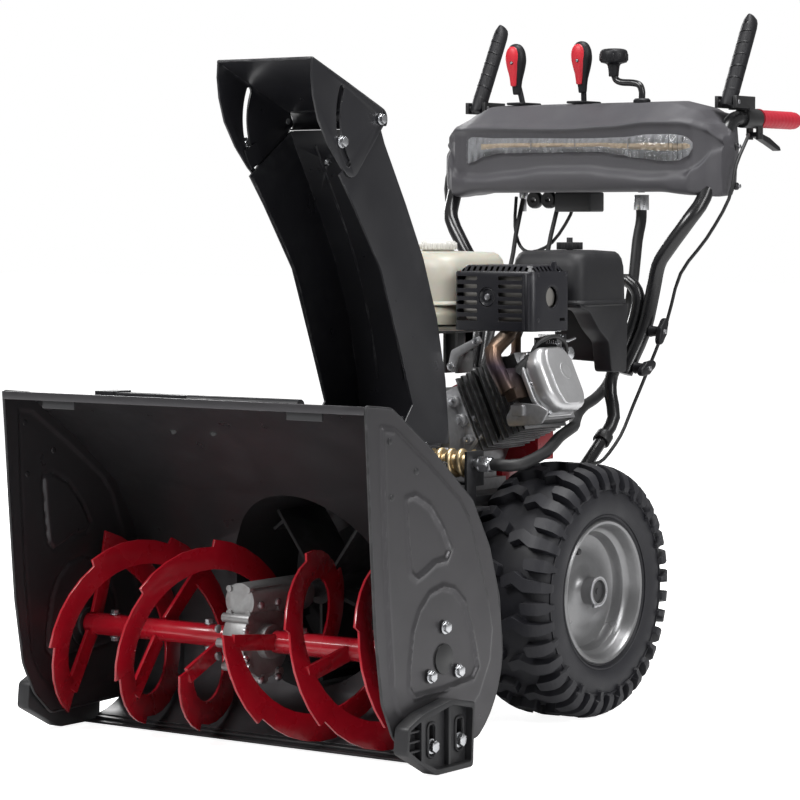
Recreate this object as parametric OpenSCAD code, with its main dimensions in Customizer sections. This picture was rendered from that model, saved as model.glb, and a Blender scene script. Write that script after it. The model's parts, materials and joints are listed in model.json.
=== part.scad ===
// Two stage snowblower, in millimetres.
// +Z is up, the machine faces -Y and the operator stands at +Y.
// The origin is on the ground under the middle of the wheel axle.

/* [Housing] */
// Width over the side plates
housing_w = 694; // [640:1:740]
// Height of the housing's top edge
housing_top = 532; // [520:1:540]
// Thickness of the sheet metal
sheet_t = 3; // [2:0.5:4]
// Distance of the auger shaft in front of the axle
auger_y = -510; // [-514:1:-506]
// Height of the auger shaft
auger_z = 160; // [156:1:162]

/* [Auger and impeller] */
// Outer radius of the auger ribbons
auger_r = 146; // [134:1:147]
// Advance of a ribbon in one turn
auger_pitch = 250; // [240:1:260]
// Width of a ribbon
ribbon_w = 45; // [35:1:50]
// Radius of the impeller over its blades
impeller_r = 144; // [130:1:146]
// Inner radius of the impeller drum
drum_r = 150; // [148:1:152]
// Height of the impeller shaft
impeller_z = 222; // [221:1:224]

/* [Chute] */
// Sideways offset of the chute from the middle
chute_x = 70; // [66:1:72]
// Distance of the chute's turning axis in front of the axle
chute_y = -305; // [-307:1:-303]
// Width of the chute over its sides
chute_w = 170; // [160:1:176]
// Number of teeth on the chute ring
ring_teeth = 36; // [30:1:44]

/* [Wheels] */
// Tyre radius over the lugs
tyre_r = 203; // [200:1:206]
// Tyre width over the lugs
tyre_w = 164; // [150:1:170]
// Distance of the tyre's inner face from the middle
tyre_x = 148; // [146:1:156]
// Radius of the rim's flange
rim_r = 114; // [108:1:118]
// Lugs on each shoulder of a tyre
lug_count = 18; // [14:1:22]

/* [Handles] */
// Diameter of the upper handle tubes
handle_d = 25; // [24:0.5:26]
// Diameter of the lower handle tube
lower_handle_d = 22; // [20:0.5:24]
// Diameter of a grip
grip_d = 31; // [29:0.5:32]
// Distance of a grip from the middle
grip_x = 257; // [255:1:260]
// Height of a grip
grip_z = 965; // [962:1:968]

/* [Hidden] */
$fn = 48;
eps = 0.01;
run_gap = 0.05;
half_w = housing_w / 2;
plate_in = half_w - 7;
axle_z = tyre_r;
axle_r = 10;
drum_back = -212;
front_y = -695;
rear_y = 695;
chassis_x = 130;
chassis_top = 354;
crank_z = 440;
cylinder_tilt = 24.5;
worm_y = -167;
worm_z = 411;
worm_r = 23.5;
worm_pitch = 19.5;
ring_z = 405;
ring_h = 12;
hood_y = -408;
hood_z = 940;
hood_slot_r = 104;
hood_slot = [-24, 40];
slot_bolt = [hood_y + hood_slot_r * cos(200), hood_z + hood_slot_r * sin(200)];
console_pivot_z = 950;
clutch_y = 457;
clutch_z = 991;
trigger_y = 548;
trigger_z = 938;
gear_ratio = 20;
shear_x = [90, 280];
drift_holes = [[-640, 482], [-640, 403], [-579, 436]];

// ---- outlines in the YZ plane -------------------------------------------

function arc_yz(cy, cz, r, a0, a1, n) =
    [for (i = [0:n]) let (a = a0 + (a1 - a0) * i / n) [cy + r * cos(a), cz + r * sin(a)]];

// Roof and back of the housing, from the front lip down to the scraper.
wall_path = concat(
    [[front_y + 2, housing_top - 1], [-633, 523], [-537, 461], [-436, 381], [-394, 311], [-367, 235]],
    arc_yz(auger_y, auger_z, 152.5, 15, -80, 11));

side_outline = concat(
    [[front_y, housing_top], [-633, 526], [-537, 464], [-433, 383], [-390, 313], [-363, 235]],
    arc_yz(auger_y, auger_z, 154.5, 14, -54, 8),
    [[-593, 29], [-629, 63], [-654, 113], [-670, 212], [-681, 356], [-690, 520]]);

function unit(v) = v / norm(v);
function left_of(v) = [-v.y, v.x];
function corner_normal(p, i) =
    i == 0 ? left_of(unit(p[1] - p[0]))
    : i == len(p) - 1 ? left_of(unit(p[i] - p[i - 1]))
    : let (a = left_of(unit(p[i] - p[i - 1])), b = left_of(unit(p[i + 1] - p[i])))
      (a + b) / (1 + a * b);
function shifted(p, d) = [for (i = [0:len(p) - 1]) p[i] + d * corner_normal(p, i)];
function reversed(p) = [for (i = [len(p) - 1:-1:0]) p[i]];
function ring_normal(p, i) =
    let (n = len(p), a = left_of(unit(p[i] - p[(i + n - 1) % n])), b = left_of(unit(p[(i + 1) % n] - p[i])))
    (a + b) / (1 + a * b);
function ring_shifted(p, d) = [for (i = [0:len(p) - 1]) p[i] + d * ring_normal(p, i)];

// A polygon drawn in (y, z) and given a width along X.
module slab_x(x0, x1) {
    translate([x0, 0, 0]) rotate([90, 0, 90]) linear_extrude(x1 - x0) children();
}

// A polygon drawn in (x, z) and given a depth along Y.
module slab_y(y0, y1) {
    translate([0, y1, 0]) rotate([90, 0, 0]) linear_extrude(y1 - y0) children();
}

module round_rect(w, h, r) {
    square([w - 2 * r, h], center = true);
    square([w, h - 2 * r], center = true);
    for (x = [-1, 1], y = [-1, 1]) translate([x * (w / 2 - r), y * (h / 2 - r)]) circle(r);
}

// A box between two corners with its vertical edges rounded.
module soft_box(lo, hi, r) {
    translate([(lo.x + hi.x) / 2, (lo.y + hi.y) / 2, lo.z])
        linear_extrude(hi.z - lo.z) round_rect(hi.x - lo.x, hi.y - lo.y, r);
}

module box(lo, hi) {
    translate(lo) cube(hi - lo);
}

module rod(a, b, d) {
    v = b - a;
    translate(a) rotate([0, acos(v.z / norm(v)), atan2(v.y, v.x)]) cylinder(h = norm(v), d = d);
}

module x_cylinder(x0, x1, y, z, r) {
    translate([x0, y, z]) rotate([0, 90, 0]) cylinder(h = x1 - x0, r = r);
}

module y_cylinder(y0, y1, x, z, r) {
    translate([x, y1, z]) rotate([90, 0, 0]) cylinder(h = y1 - y0, r = r);
}

// A hexagon head and washer that stand on a face whose normal is +Z.
module bolt_head(d, h) {
    cylinder(h = 1.5, d = d * 1.25);
    cylinder(h = h, d = d, $fn = 6);
}

module bolt_on_x(x, y, z, dir, d = 16, h = 7) {
    translate([x, y, z]) rotate([0, dir * 90, 0]) bolt_head(d, h);
}

module mirrored_x() {
    children();
    mirror([1, 0, 0]) children();
}

// ---- sweeps --------------------------------------------------------------

function path_dir(p, i) = unit(p[min(i + 1, len(p) - 1)] - p[max(i - 1, 0)]);
function spline_point(p, i, u) =
    let (n = len(p) - 1, a = p[max(i - 1, 0)], b = p[i], c = p[min(i + 1, n)], d = p[min(i + 2, n)])
    0.5 * (2 * b + (c - a) * u + (2 * a - 5 * b + 4 * c - d) * u * u
    + (3 * b - a - 3 * c + d) * u * u * u);
function spline(p, steps) =
    concat([for (i = [0:len(p) - 2], s = [0:steps - 1]) spline_point(p, i, s / steps)], [p[len(p) - 1]]);

// A round bar or cord along a spline; ref is a direction that the route never follows.
module swept_cord(route, d, steps = 3, sides = 10, ref = [0, 0, 1]) {
    p = spline(route, steps);
    n = len(p);
    rings = [for (i = [0:n - 1]) let (t = path_dir(p, i), u = unit(cross(t, ref)), v = cross(t, u))
        for (k = [0:sides - 1]) p[i] + d / 2 * (cos(360 * k / sides) * u + sin(360 * k / sides) * v)];
    walls = [for (i = [0:n - 2], k = [0:sides - 1]) let (a = i * sides, j = (k + 1) % sides)
        [a + k, a + sides + k, a + sides + j, a + j]];
    ends = [[for (k = [0:sides - 1]) k], [for (k = [sides - 1:-1:0]) (n - 1) * sides + k]];
    polyhedron(rings, concat(walls, ends), convexity = 6);
}

// One auger ribbon: a flat band wound round the shaft with a stepped outer edge.
// x_front is where it crosses the front, and a0 and a1 are the angles where it starts and ends.
module ribbon(x_front, a0, a1) {
    teeth = 7;
    steps = teeth * 6 - 1;
    t = 4;
    pts = [for (i = [0:steps]) let (
            a = a0 + (a1 - a0) * (floor(i / 6) + (i % 6) * 0.196) / teeth,
            x = x_front - auger_pitch * a / 360,
            r = auger_r - 11 * (i % 6) / 5)
        for (c = [[auger_r - ribbon_w, -t / 2], [r, -t / 2], [r, t / 2], [auger_r - ribbon_w, t / 2]])
            [x + c.y, auger_y - c.x * cos(a), auger_z + c.x * sin(a)]];
    walls = [for (i = [0:steps - 1], k = [0:3]) let (b = i * 4, j = (k + 1) % 4)
        [b + k, b + 4 + k, b + 4 + j, b + j]];
    polyhedron(pts, concat(walls, [[0, 1, 2, 3], [for (k = [3:-1:0]) steps * 4 + k]]), convexity = 8);
}

// ---- auger housing -------------------------------------------------------

module auger_housing() {
    inner = shifted(wall_path, -sheet_t);
    strip = concat(wall_path, reversed(inner));
    mouth = concat([[front_y, housing_top + 5], [-690, housing_top + 5]], inner, [[-600, 0], [-720, 0]]);
    color([0.27, 0.28, 0.3]) {
        difference() {
            union() {
                slab_x(-plate_in, plate_in) polygon(strip);
                y_cylinder(-435, drum_back, 0, impeller_z, drum_r + sheet_t);
                translate([chute_x, chute_y, impeller_z + 40])
                    cylinder(h = ring_z - 4.5 - impeller_z - 40, r = 85);
                box([-plate_in, front_y, housing_top - 12], [plate_in, front_y + 3, housing_top]);
            }
            slab_x(-plate_in - 1, plate_in + 1) polygon(mouth);
            y_cylinder(-500, drum_back - sheet_t, 0, impeller_z, drum_r);
            translate([chute_x, chute_y, impeller_z + 30]) cylinder(h = 200, r = 82);
            y_cylinder(-230, -200, 0, impeller_z, 13);
            for (x = [-120, -95, 100, 125]) y_cylinder(drum_back - 5, drum_back + 1, x, impeller_z - 40, 4.5);
        }
        box([-plate_in, front_y, housing_top - 12], [plate_in, front_y + 3, housing_top]);
        translate([chute_x, chute_y, ring_z - 4.5]) difference() {
            cylinder(h = 4, r = 112);
            translate([0, 0, -1]) cylinder(h = 6, r = 82);
        }
    }
}

module side_plate() {
    panel = ring_shifted(side_outline, -24);
    difference() {
        union() {
            slab_x(plate_in + eps, plate_in + sheet_t) polygon(side_outline);
            slab_x(plate_in + sheet_t - eps, half_w) polygon(panel);
            slab_x(plate_in - 12, plate_in + sheet_t) polygon([[-690, 516], [-681, 356], [-670, 212], [-654, 113],
                [-651, 113], [-667, 212], [-678, 356], [-687, 516]]);
        }
        x_cylinder(plate_in - 20, half_w + 1, auger_y, auger_z, 22);
        for (p = drift_holes) x_cylinder(plate_in - 20, half_w + 1, p.x, p.y, 4);
    }
}

module side_plate_right() { color([0.32, 0.33, 0.34]) side_plate(); }
module side_plate_left() { color([0.32, 0.33, 0.34]) mirror([1, 0, 0]) side_plate(); }

module scraper_bar() {
    color([0.2, 0.2, 0.22]) box([-plate_in + 1, -516, 3.4], [plate_in - 1, -484, 7]);
}

module skid_shoe() {
    difference() {
        union() {
            slab_x(half_w + eps, half_w + 12) polygon(
                [[-633, 78], [-636, 38], [-561, 0], [-471, 0], [-465, 96], [-523, 109], [-599, 95]]);
            slab_x(half_w + 5, half_w + 32) polygon(
                [[-640, 44], [-561, 0], [-468, 0], [-468, 7], [-560, 7], [-634, 47]]);
            for (y = [-610, -526, -475])
                slab_x(half_w + 5, half_w + 22) polygon([[y - 3, 6], [y + 3, 6], [y + 3, 84], [y - 3, 84]]);
        }
        for (y = [-561, -492]) {
            x_cylinder(half_w - 1, half_w + 40, y, 36, 6.5);
            x_cylinder(half_w - 1, half_w + 40, y, 66, 6.5);
            box([half_w - 1, y - 6.5, 36], [half_w + 40, y + 6.5, 66]);
        }
        box([half_w + 12 + eps, -636, 84], [half_w + 40, -460, 120]);
    }
}

module skid_shoe_right() { color([0.08, 0.08, 0.09]) skid_shoe(); }
module skid_shoe_left() { color([0.08, 0.08, 0.09]) mirror([1, 0, 0]) skid_shoe(); }

// Bearing plates and bolts on the two sides of the housing.
module housing_bolts() {
    mirrored_x() {
        for (p = [[-509, 206], [-545, 139], [-475, 139]]) bolt_on_x(half_w, p.x, p.y, 1);
        for (y = [-561, -492]) bolt_on_x(half_w + 12.1, y, 42, 1, 18, 9);
    }
}

module auger_bearings() {
    mirrored_x() difference() {
        union() {
            x_cylinder(plate_in - 8, plate_in - 3, auger_y, auger_z, 24);
            x_cylinder(plate_in - 4, plate_in, auger_y, auger_z, 38);
            x_cylinder(plate_in - eps, half_w, auger_y, auger_z, 22);
        }
        x_cylinder(plate_in - 40, half_w - 2, auger_y, auger_z, 13 + run_gap);
    }
}

// ---- auger ---------------------------------------------------------------

// A flat spoke from the sleeve to the ribbon, at a given angle.
module spoke(x, a, wide) {
    translate([x, auger_y, auger_z]) rotate([-a, 0, 0])
        translate([-3, 6 - (auger_r - ribbon_w + 18), -wide / 2]) cube([6, auger_r - ribbon_w - 4, wide]);
}

module ribbon_with_spokes(x_front, a0, a1) {
    ribbon(x_front, a0, a1);
    for (a = [a0 + 6, (a0 + a1) / 2, a1 - 6])
        spoke(x_front - auger_pitch * a / 360, a, 24);
}

module sleeve(x0, x1) {
    difference() {
        x_cylinder(x0, x1, auger_y, auger_z, 17);
        x_cylinder(x0 - 1, x1 + 1, auger_y, auger_z, 13.1);
        mirrored_x() for (x = shear_x) translate([x, auger_y, auger_z - 30]) cylinder(h = 60, r = 4.1);
    }
}

module auger_right() {
    color([0.72, 0.05, 0.08]) {
        sleeve(40, plate_in - 9);
        ribbon_with_spokes(301, -36, 372);
        ribbon_with_spokes(176, -216, 192);
    }
}

module auger_left() {
    color([0.72, 0.05, 0.08]) mirror([1, 0, 0]) {
        sleeve(40, plate_in - 9);
        ribbon_with_spokes(280, -66, 342);
        ribbon_with_spokes(147, -258, 150);
    }
}

// The shaft carries the worm wheel in the middle of the gearbox.
module auger_shaft() {
    color([0.6, 0.61, 0.63]) {
        shear_bolts();
        x_cylinder(3 - half_w, half_w - 3, auger_y, auger_z, 13);
        difference() {
            x_cylinder(-9, 9, auger_y, auger_z, 45);
            for (k = [0:gear_ratio - 1]) translate([0, auger_y, auger_z]) rotate([k * 360 / gear_ratio, 0, 0])
                translate([-10, -3, 40]) cube([20, 6, 10]);
        }
    }
}

module shear_bolts() {
    mirrored_x() for (x = shear_x) translate([x, auger_y, auger_z]) {
        translate([0, 0, -24]) cylinder(h = 48, r = 4);
        translate([0, 0, 17.2]) bolt_head(13, 7);
        translate([0, 0, -17.2]) rotate([180, 0, 0]) bolt_head(13, 7);
    }
}

module auger_gearbox() {
    color([0.55, 0.56, 0.57]) difference() {
        union() {
            x_cylinder(-20, 20, auger_y, auger_z, 56);
            x_cylinder(-34, 34, auger_y, auger_z, 26);
            y_cylinder(-548, -400, 0, impeller_z, 27);
            box([-20, auger_y - 38, auger_z + 20], [20, auger_y + 38, impeller_z + 20]);
            for (a = [20:40:340]) translate([0, auger_y, auger_z]) rotate([a - 90, 0, 0])
                translate([0, 0, 57]) rotate([0, 90, 0]) translate([0, 0, -26]) cylinder(h = 52, r = 7);
            for (x = [-18, 18], z = [-18, 18]) y_cylinder(-552, -540, x, impeller_z + z, 5);
        }
        x_cylinder(-12, 12, auger_y, auger_z, 46.5);
        x_cylinder(-40, 40, auger_y, auger_z, 13 + run_gap);
        y_cylinder(-540, -430, 0, impeller_z, 18);
        y_cylinder(-440, -390, 0, impeller_z, 12 + run_gap);
    }
}

// ---- impeller and belt drive --------------------------------------------

module impeller() {
    color([0.62, 0.05, 0.08]) {
        difference() {
            union() {
                y_cylinder(-352, -232, 0, impeller_z, 24);
                y_cylinder(-236, -232, 0, impeller_z, 90);
                for (k = [0:4]) translate([0, 0, impeller_z]) rotate([0, k * 72 + 18, 0]) {
                    box([20, -348, -2.5], [impeller_r, -234, 2.5]);
                    box([impeller_r - 22, -348, 0], [impeller_r - 17, -234, 24]);
                }
            }
            y_cylinder(-400, -200, 0, impeller_z, 12);
        }
    }
}

module impeller_shaft() {
    color([0.6, 0.61, 0.63]) {
        y_cylinder(-538, -118, 0, impeller_z, 12);
        for (y = [-535:9:-485]) y_cylinder(y, y + 4.5, 0, impeller_z, 16.5);
        pulley(-138, impeller_z, 86, 11);
    }
}

module pulley(y0, z, r, bore) {
    translate([0, y0 + 16, z]) rotate([90, 0, 0]) rotate_extrude()
        polygon([[bore, 0], [r, 0], [r, 2], [r - 9, 6], [r - 9, 10], [r, 14], [r, 16], [bore, 16]]);
}

module belt_cover() {
    difference() {
        box([-70, -142.5, chassis_top], [62, -118, 492]);
        box([-67, -140, chassis_top - 1], [59, -110, 489]);
    }
}

// ---- chassis -------------------------------------------------------------

module deck_bracket() {
    difference() {
        union() {
            box([chassis_x - 1, -202, 340], [190, -164, 345]);
            box([chassis_x - 1, -202, 310], [chassis_x + 5, -164, 345]);
        }
        for (x = [150, 176]) translate([x, -195, 330]) cylinder(h = 30, r = 4);
    }
}

module chassis() {
    t = 4;
    color([0.09, 0.09, 0.1]) difference() {
        union() {
            mirrored_x() slab_x(chassis_x - t, chassis_x) polygon([[-208, 130], [110, 130], [150, 190],
                [172, 330], [178, 382], [156, 384], [110, chassis_top], [-208, chassis_top]]);
            box([-chassis_x, drum_back, 130], [chassis_x, drum_back + t, chassis_top]);
            box([-chassis_x, 108, 130], [chassis_x, 108 + t, chassis_top]);
            box([-chassis_x, drum_back, chassis_top - t], [chassis_x, 112, chassis_top]);
            box([-chassis_x, drum_back, 130], [chassis_x, 112, 130 + t]);
            mirrored_x() x_cylinder(chassis_x - 12, chassis_x + 8, 0, axle_z, 24);
            deck_bracket();
        }
        x_cylinder(-200, 200, 0, axle_z, axle_r + run_gap);
        y_cylinder(drum_back - 1, drum_back + 10, 0, impeller_z, 13);
        box([-90, -142, chassis_top - 10], [90, -117, chassis_top + 5]);
        for (x = [-90, 40], y = [-80, 60]) translate([x, y, 340]) cylinder(h = 30, r = 4.5);
    }
}

// ---- wheels --------------------------------------------------------------

module tyre() {
    body_r = tyre_r - 12;
    mid = tyre_x + tyre_w / 2;
    h = tyre_w / 2;
    color([0.07, 0.08, 0.1]) translate([mid, 0, axle_z]) rotate([0, 90, 0]) {
        rotate_extrude($fn = 96) polygon([[rim_r - 9, -h + 34], [rim_r, -h + 14], [rim_r + 22, -h + 5],
            [rim_r + 50, -h + 4], [body_r - 10, -h + 12], [body_r, -h + 30], [body_r, h - 30],
            [body_r - 10, h - 12], [rim_r + 50, h - 4], [rim_r + 22, h - 5], [rim_r, h - 14],
            [rim_r - 9, h - 34]]);
        for (k = [0:lug_count - 1], side = [-1, 1]) rotate([0, 0, (k + side / 4) * 360 / lug_count])
            rotate_extrude(angle = 200 / lug_count, $fn = 96) polygon(side > 0
                ? [[body_r - 14, 6], [tyre_r, 6], [tyre_r, h - 14], [tyre_r - 22, h - 1], [rim_r + 58, h - 1],
                   [rim_r + 56, h - 10]]
                : [[body_r - 14, -6], [rim_r + 56, 10 - h], [rim_r + 58, 1 - h], [tyre_r - 22, 1 - h],
                   [tyre_r, 14 - h], [tyre_r, -6]]);
    }
}

// A rim with its hub and half axle.
module rim() {
    h = tyre_w / 2;
    well = rim_r - 22;
    color([0.58, 0.59, 0.6]) translate([tyre_x + h, 0, axle_z]) rotate([0, 90, 0]) {
        rotate_extrude($fn = 96) polygon([[well, 52 - h], [rim_r - 9, 34 - h], [rim_r, 14 - h], [rim_r, 1 - h],
            [rim_r - 3, 1 - h], [rim_r - 3, 13 - h], [rim_r - 12, 33 - h], [well - 3, 51 - h], [well - 3, h - 51],
            [rim_r - 12, h - 33], [rim_r - 3, h - 13], [rim_r - 3, h - 1], [rim_r, h - 1], [rim_r, h - 14],
            [rim_r - 9, h - 34], [well, h - 52]]);
        rotate_extrude($fn = 96) polygon([[20, 6], [60, 2], [well - 2, 20], [well - 2, 16], [60, -2], [20, 2]]);
        rotate_extrude() polygon([[0, -46], [24, -46], [24, h - 8], [18, h - 6], [axle_r, h - 6], [0, h - 6]]);
    }
    x_cylinder(20, tyre_x + tyre_w + 9, 0, axle_z, axle_r);
    x_cylinder(chassis_x + 12, chassis_x + 36, 0, axle_z, 16);
}

module tyre_right() { tyre(); }
module tyre_left() { mirror([1, 0, 0]) tyre(); }
module rim_right() { rim(); }
module rim_left() { mirror([1, 0, 0]) rim(); }

// ---- chute ---------------------------------------------------------------

module chute_ring() {
    color([0.1, 0.1, 0.11]) translate([chute_x, chute_y, ring_z]) difference() {
        union() {
            cylinder(h = ring_h, r = 107);
            for (k = [0:ring_teeth - 1]) rotate([0, 0, k * 360 / ring_teeth])
                translate([105, -3.5, 0]) cube([9, 7, ring_h]);
            translate([0, 0, ring_h - eps]) cylinder(h = 26, r = 90);
        }
        translate([0, 0, -1]) cylinder(h = ring_h + 40, r = 82);
    }
}

// Points of the chute's sides in (y, z), from the bottom up.
chute_front = [[-372, 446], [-320, 510], [-357, 606], [-401, 716], [-470, 812], [-505, 856]];
chute_back = [[-224, 446], [-227, 480], [-234, 545], [-257, 640], [-293, 732], [-338, 813], [-393, 904],
    [-403, 926]];

module chute_duct() {
    x0 = chute_x - chute_w / 2;
    x1 = chute_x + chute_w / 2;
    side = concat(chute_front, reversed(chute_back));
    back = concat(reversed(chute_back), shifted(chute_back, sheet_t));
    color([0.1, 0.1, 0.11]) difference() {
        union() {
            slab_x(x0, x0 + sheet_t) polygon(side);
            slab_x(x1 - sheet_t, x1) polygon(side);
            slab_x(x0 + eps, x1 - eps) polygon(back);
            translate([chute_x, chute_y, 443.1]) difference() {
                cylinder(h = 4, r = 104);
                translate([0, 0, -1]) cylinder(h = 6, r = 79);
            }
            translate([chute_x, chute_y, 443.1]) intersection() {
                difference() {
                    cylinder(h = 50, r = 82);
                    translate([0, 0, -1]) cylinder(h = 60, r = 79);
                }
                translate([-90, -90, 0]) cube([180, 75, 60]);
            }
        }
        for (x = [chute_x - 30, chute_x + 30]) y_cylinder(-420, -330, x, 880, 4);
    }
}

module chute_bolts() {
    color([0.75, 0.76, 0.78]) {
        for (a = [0, 90, 180, 240, 300]) translate([chute_x + 94 * cos(a), chute_y + 94 * sin(a), 447.2]) bolt_head(11, 6);
        mirror_at_chute() {
            x_cylinder(chute_x + chute_w / 2 + 0.1, chute_x + chute_w / 2 + 5, hood_y, hood_z, 4.9);
            bolt_on_x(chute_x + chute_w / 2 + 4.2, hood_y, hood_z, 1, 14, 7);
            x_cylinder(chute_x + chute_w / 2 + 0.1, chute_x + chute_w / 2 + 5, slot_bolt.x, slot_bolt.y, 4.9);
            bolt_on_x(chute_x + chute_w / 2 + 4.2, slot_bolt.x, slot_bolt.y, 1, 15, 8);
        }
    }
}

module hood_side() {
    difference() {
        polygon(concat([[-395, 936], [-404, 956], [-574, 1025], [-576, 1000], [-572, 970], [-560, 935],
            [-535, 899], [-505, 868]], arc_yz(-480, 874, 21, 215, 330, 6)));
        for (a = [hood_slot[0]:2:hood_slot[1]])
            translate([hood_y + hood_slot_r * cos(180 + a), hood_z + hood_slot_r * sin(180 + a)]) circle(6);
    }
}

module deflector() {
    x0 = chute_x - chute_w / 2 - 3.5;
    x1 = chute_x + chute_w / 2 + 3.5;
    color([0.1, 0.1, 0.11]) {
        difference() {
            union() {
                slab_x(x0, x0 + sheet_t) hood_side();
                slab_x(x1 - sheet_t, x1) hood_side();
                slab_x(x0 + eps, x1 - eps)
                    polygon([[-405, 953], [-404, 956], [-574, 1025], [-574.8, 1022]]);
                slab_x(x0 + eps, x1 - eps) polygon(concat(arc_yz(hood_y, hood_z, 17.5, 100, -35, 9),
                    arc_yz(hood_y, hood_z, 14.5, -35, 100, 9)));
            }
            x_cylinder(x0 - 1, x1 + 1, hood_y, hood_z, 5);
        }
    }
}

module mirror_at_chute() {
    children();
    translate([2 * chute_x, 0, 0]) mirror([1, 0, 0]) children();
}

module chute_worm() {
    color([0.78, 0.68, 0.4]) {
        x_cylinder(8, 160, worm_y, worm_z, 14);
        for (k = [0:7]) translate([14 + k * worm_pitch, worm_y, worm_z]) rotate([0, 90, 0])
            rotate_extrude() translate([worm_r - 6.2, 0]) circle(6);
    }
    color([0.75, 0.76, 0.78]) {
        x_cylinder(160, 172, worm_y, worm_z, 8);
        translate([172, worm_y, worm_z]) rotate([0, 90, 0]) cylinder(h = 26, r = 13, $fn = 6);
    }
}

module worm_bracket() {
    color([0.1, 0.1, 0.11]) difference() {
        union() {
            box([161, worm_y - 24, 376], [166, worm_y + 22, worm_z + 20]);
            box([161, -191, 345.1], [166, -166, 380]);
            box([0, worm_y - 10, chassis_top + 0.1], [5, worm_y + 14, worm_z + 14]);
            box([0, worm_y + 4, 376], [166, worm_y + 22, 380]);
        }
        x_cylinder(-5, 6.5, worm_y, worm_z, 14 + run_gap);
        x_cylinder(155, 180, worm_y, worm_z, 8 + run_gap);
    }
}

// Sleeved flexible shaft from the worm's coupling up to the console, held by clips.
drive_route = [[198.5, -167, 411], [207, -167, 411], [216, -167, 411], [237, -146, 412], [232, -70, 426],
    [219, -10, 446], [213, 40, 459], [192, 78, 464], [162, 130, 469], [134, 182, 474], [113, 232, 481],
    [105, 275, 489], [103, 315, 508], [104, 345, 542], [107, 362, 590], [111, 377, 640], [113, 389, 700],
    [110, 404, 755], [108, 417, 782], [108, 420, 796], [108, 420, 808], [108, 420, 820]];

module chute_drive_shaft() { color([0.07, 0.07, 0.07]) swept_cord(drive_route, 19, 2, 12, [1, -1, 0]); }

module drive_fitting() {
    difference() {
        translate([108, 420, 808]) cylinder(h = 26, r = 13);
        translate([108, 420, 800]) cylinder(h = 30, r = 10.5);
    }
}

// ---- engine --------------------------------------------------------------

// Frame of the cylinder: +X along the bore, Y along the crankshaft.
module along_bore() {
    translate([0, 0, crank_z]) rotate([0, -cylinder_tilt, 0]) children();
}

module crankcase() {
    difference() {
        union() {
            box([-100, -108, chassis_top], [70, 60, 372]);
            box([-88, -104, 370], [58, 50, 470]);
            y_cylinder(-112, 62, 0, crank_z, 78);
            along_bore() box([30, -70, -52], [92, 40, 52]);
        }
        y_cylinder(-140, 90, 0, crank_z, 11 + run_gap);
    }
}

module cylinder_block() {
    along_bore() {
        box([92, -58, -45], [196, 30, 45]);
        for (u = [96:11:190]) box([u, -74, -62], [u + 4, 46, 62]);
        box([190, -66, -58], [212, 40, 58]);
    }
}

module valve_cover() {
    color([0.74, 0.75, 0.76]) along_bore() {
        translate([212, -12, 0]) rotate([90, 0, 90]) linear_extrude(8) round_rect(112, 112, 16);
        translate([220, -12, 0]) rotate([90, 0, 90]) linear_extrude(30) round_rect(100, 98, 20);
        translate([250, -12, 0]) rotate([0, 90, 0]) cylinder(h = 4, r = 16);
        for (y = [-58, 34], z = [-46, 46]) translate([220, y, z]) rotate([0, 90, 0]) bolt_head(12, 9);
    }
}

module crankshaft() {
    color([0.6, 0.61, 0.63]) {
        y_cylinder(-138, 100, 0, crank_z, 11);
        y_cylinder(84, 90, 0, crank_z, 70);
        pulley(-137, crank_z, 36, 10);
    }
}

module blower_shroud() {
    color([0.72, 0.04, 0.06]) difference() {
        union() {
            y_cylinder(64, 116, 0, crank_z, 85);
            box([-85, 64, chassis_top], [60, 116, crank_z]);
            box([40, 64, 400], [130, 110, 462]);
        }
        y_cylinder(78, 112, 0, crank_z, 76);
        y_cylinder(60, 80, 0, crank_z, 20);
        for (a = [0:30:330], r = [30, 46, 62]) y_cylinder(108, 120, r * cos(a), crank_z + r * sin(a), 4);
    }
}

module recoil_cover() {
    difference() {
        y_cylinder(116.1, 146, 0, crank_z, 66);
        y_cylinder(110, 142, 0, crank_z, 60);
        for (a = [0:40:320]) y_cylinder(140, 150, 42 * cos(a), crank_z + 42 * sin(a), 6);
        box([-80, 122, crank_z + 30], [-52, 138, crank_z + 44]);
    }
}

module recoil_handle() {
    color([0.08, 0.08, 0.08]) {
        box([-93.2, 104, crank_z + 28], [-81.2, 156, crank_z + 46]);
        rod([-81.2, 130, crank_z + 37], [-60, 130, crank_z + 37], 6);
    }
}

module fuel_tank() {
    color([0.86, 0.84, 0.76]) difference() {
        union() {
            soft_box([-180, -60, 611], [40, 130, 729], 34);
            soft_box([-183, -63, 652], [43, 133, 660], 36);
            soft_box([-172, -52, 728], [32, 122, 739], 30);
            translate([-38, 20, 738]) cylinder(h = 4, r = 26);
        }
        soft_box([-175, -55, 616], [35, 125, 732], 30);
        translate([-38, 20, 720]) cylinder(h = 40, r = 16);
    }
}

module tank_bracket() {
    union() {
        for (x = [-150, -30]) box([x, -40, 606], [x + 24, 110, 610.9]);
        for (x = [-60, -36]) box([x, -40, 520], [x + 6, -20, 606]);
        for (x = [-60, -36]) box([x, 66, 537], [x + 6, 110, 606]);
    }
}

module fuel_cap() {
    color([0.9, 0.9, 0.88]) {
        translate([-38, 20, 742.1]) cylinder(h = 15, r = 30);
        for (a = [0:30:330]) translate([-38 + 30 * cos(a), 20 + 30 * sin(a), 742.1]) cylinder(h = 15, r = 3);
        translate([-38, 20, 726]) cylinder(h = 17, r = 15.5);
    }
}

module muffler() {
    union() {
        translate([124, -4, 668]) rotate([90, 0, 0]) translate([0, 0, -44]) linear_extrude(88)
            round_rect(128, 84, 24);
        box([100, 30, 560], [110, 44, 630]);
    }
}

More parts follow.
